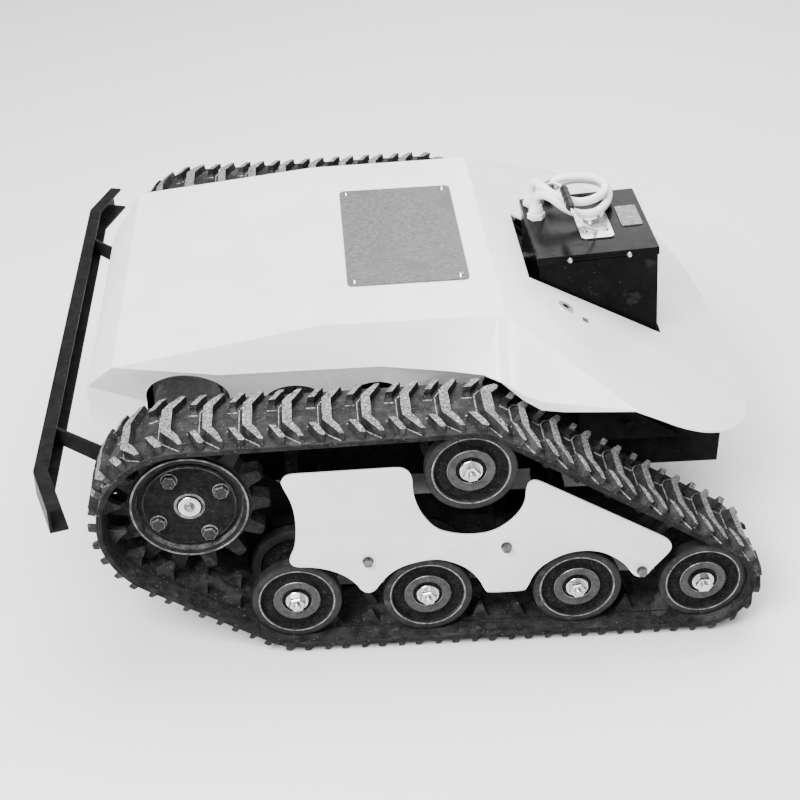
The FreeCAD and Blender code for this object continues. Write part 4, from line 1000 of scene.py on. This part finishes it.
def make_access_plate():
    """The grey plate on the hull, with round corners, on the slope of its node's box."""
    low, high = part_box("access_plate")
    outline = []
    for x, y, start in ((high[0], high[1], 0), (low[0], high[1], 90), (low[0], low[1], 180),
                        (high[0], low[1], 270)):
        middle_x = x / MM - math.copysign(PLATE_CORNER, x - (low[0] + high[0]) / 2)
        middle_y = y / MM - math.copysign(PLATE_CORNER, y)
        for step in range(7):
            angle = math.radians(start + 15 * step)
            outline.append((middle_x + PLATE_CORNER * math.cos(angle),
                            middle_y + PLATE_CORNER * math.sin(angle)))
    bm = bmesh.new()
    slope = (high[2] - low[2] - PLATE_SHEET * MM) / (high[0] - low[0])

    def place(point, end):
        return (*point, low[2] / MM + slope * (point[0] - low[0] / MM) + end * PLATE_SHEET)

    prism(bm, outline, place)
    bevel_all(bm, 0.4, 2, 50)
    piece = mesh_object("top_plate", bm, ["plate_grey"], 40)
    finish_piece(piece, "chassis", "grey_plate", "access_plate")


BOX_TILT = math.radians(3.88)
BOX_CORNER = (226.5, 0.0, 494.0)
SCREW_X, SCREW_Y = (93, 129), -36         # places on the lid, from the box's rear edge
SCREW_RINGS = ((4.3, 2.6, 5.2), (2.2, 5.0, 5.8))     # radius, from, to above the lid


def on_lid(x, y, z):
    """Frame point of a place on the control box's lid."""
    return Vector((BOX_CORNER[0] + x * math.cos(BOX_TILT) - z * math.sin(BOX_TILT), y,
                   BOX_CORNER[2] + x * math.sin(BOX_TILT) + z * math.cos(BOX_TILT)))


def make_terminal_screws():
    """Black socket screws in the near corners of the terminal plate."""
    bm = bmesh.new()
    for x in SCREW_X:
        for radius, *heights in SCREW_RINGS:
            low, high = ([bm.verts.new(on_lid(x + radius * math.cos(a),
                                              SCREW_Y + radius * math.sin(a), z))
                          for a in round_angles(24)] for z in heights)
            band(bm, low, high)
            bm.faces.new(low[::-1])
            bm.faces.new(high)
    piece = mesh_object("terminal_screws", bm, ["bolt_black"], 40)
    finish_piece(piece, "chassis", "bare_steel")


make_access_plate()
make_terminal_screws()


# ---- carried-over frame pieces: a finish for each, and softened edges ----
WELD_REACH = 0.00002
CARRIED = {                   # node: material, edge rounding in mm, least angle in degrees
    "hull_cover": ("white_paint", 4.0, 20.0),
    "cover_screws": ("bright_steel", 0.3, 30.0), "chassis_tub": ("black_paint", 1.2, 30.0),
    "nose_brackets": ("black_paint", 0.8, 30.0), "bumper_channel": ("black_paint", 1.4, 15.0),
    "bumper_arms": ("black_paint", 0.8, 30.0), "control_box": ("gloss_black", 1.2, 30.0),
    "control_box_lid": ("gloss_black", 1.2, 30.0), "display_window": ("display_grey", 0.5, 30.0),
    "connector_plate": ("silver_plate", 0.5, 30.0), "cable_glands": ("conduit_white", 0.7, 30.0),
    "key_switch_body": ("chrome", 0.5, 30.0), "key_switch_rotor": ("bolt_black", 0.3, 30.0),
    "indicator_lamp": ("lamp_grey", 0.4, 30.0), "battery_pack": ("battery_case", 2.0, 30.0),
    "motor_controller": ("aluminium", 0.8, 30.0), "drive_motors": ("motor_paint", 1.5, 30.0),
    "reduction_gearboxes": ("aluminium", 1.5, 30.0), "side_cover_bolts": ("bolt_grey", 0.5, 30.0),
    "tension_rods": ("dull_steel", 0.8, 30.0),
}
for side_name, _ in SIDES:
    CARRIED[side_name + "_side_frame"] = ("frame_paint", 1.2, 30.0)
    CARRIED[side_name + "_idler_carriage"] = ("frame_paint", 1.0, 30.0)


def finish_node(node, key, width, angle):
    """A finish and softened edges for a CAD node; its vertices stay as they are."""
    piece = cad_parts[node]
    piece.data.materials.clear()
    piece.data.materials.append(MAT[key])
    imported_normals = piece.data.attributes.get("custom_normal")
    if imported_normals:
        piece.data.attributes.remove(imported_normals)
    weld = piece.modifiers.new("weld", "WELD")
    weld.merge_threshold = WELD_REACH
    bevel = piece.modifiers.new("bevel", "BEVEL")
    bevel.width = width * MM
    bevel.segments = 3
    bevel.limit_method = "ANGLE"
    bevel.angle_limit = math.radians(angle)
    bevel.miter_outer = "MITER_ARC"
    piece.modifiers.new("weighted_normals", "WEIGHTED_NORMAL")
    for polygon in piece.data.polygons:
        polygon.use_smooth = True


for node, (key, width, angle) in CARRIED.items():
    finish_node(node, key, width, angle)


def steel_beyond(node, reach):
    """Gives the faces of a node past a distance from the middle plane a bright steel finish."""
    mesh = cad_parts[node].data
    mesh.materials.append(MAT["bright_steel"])
    for polygon in mesh.polygons:
        if abs(polygon.center.y) > reach:
            polygon.material_index = 1


for side_name, _ in SIDES:
    steel_beyond(side_name + "_idler_carriage", (TRACK_Y + WHEEL_HALF - AXLE_RECESS) * MM)


# ---- floor and light ----
FLOOR_HALF, FLOOR_DROP = 30, 0.0005
WORLD_STRENGTH = 0.7


def make_stage():
    material, _, _, shader = new_material("studio_floor")
    shader.inputs["Base Color"].default_value = (0.86, 0.86, 0.86, 1)
    shader.inputs["Roughness"].default_value = 0.9
    bm = bmesh.new()
    bmesh.ops.create_grid(bm, x_segments=1, y_segments=1, size=FLOOR_HALF)
    mesh = bpy.data.meshes.new("floor")
    bm.to_mesh(mesh)
    bm.free()
    mesh.materials.append(material)
    floor = bpy.data.objects.new("floor", mesh)
    floor.location.z = -FLOOR_DROP
    bpy.context.collection.objects.link(floor)
    world = bpy.data.worlds.new("studio")
    world.use_nodes = True
    world.node_tree.nodes["Background"].inputs["Color"].default_value = (1, 1, 1, 1)
    world.node_tree.nodes["Background"].inputs["Strength"].default_value = WORLD_STRENGTH
    bpy.context.scene.world = world


def area_light(name, at, aim, size, power):
    data = bpy.data.lights.new(name, "AREA")
    data.shape = "RECTANGLE"
    data.size, data.size_y = size
    data.energy = power
    lamp = bpy.data.objects.new(name, data)
    lamp.location = at
    lamp.rotation_euler = (Vector(aim) - Vector(at)).to_track_quat("-Z", "Y").to_euler()
    bpy.context.collection.objects.link(lamp)


make_stage()
area_light("key_light", (-1.6, -2.6, 3.2), (0, 0, 0.2), (1.8, 1.8), 400)
area_light("top_light", (0.3, 0.6, 3.4), (0, 0, 0.3), (2.4, 2.4), 190)
area_light("back_light", (1.4, 3.0, 2.2), (0, 0, 0.3), (2.4, 1.6), 60)
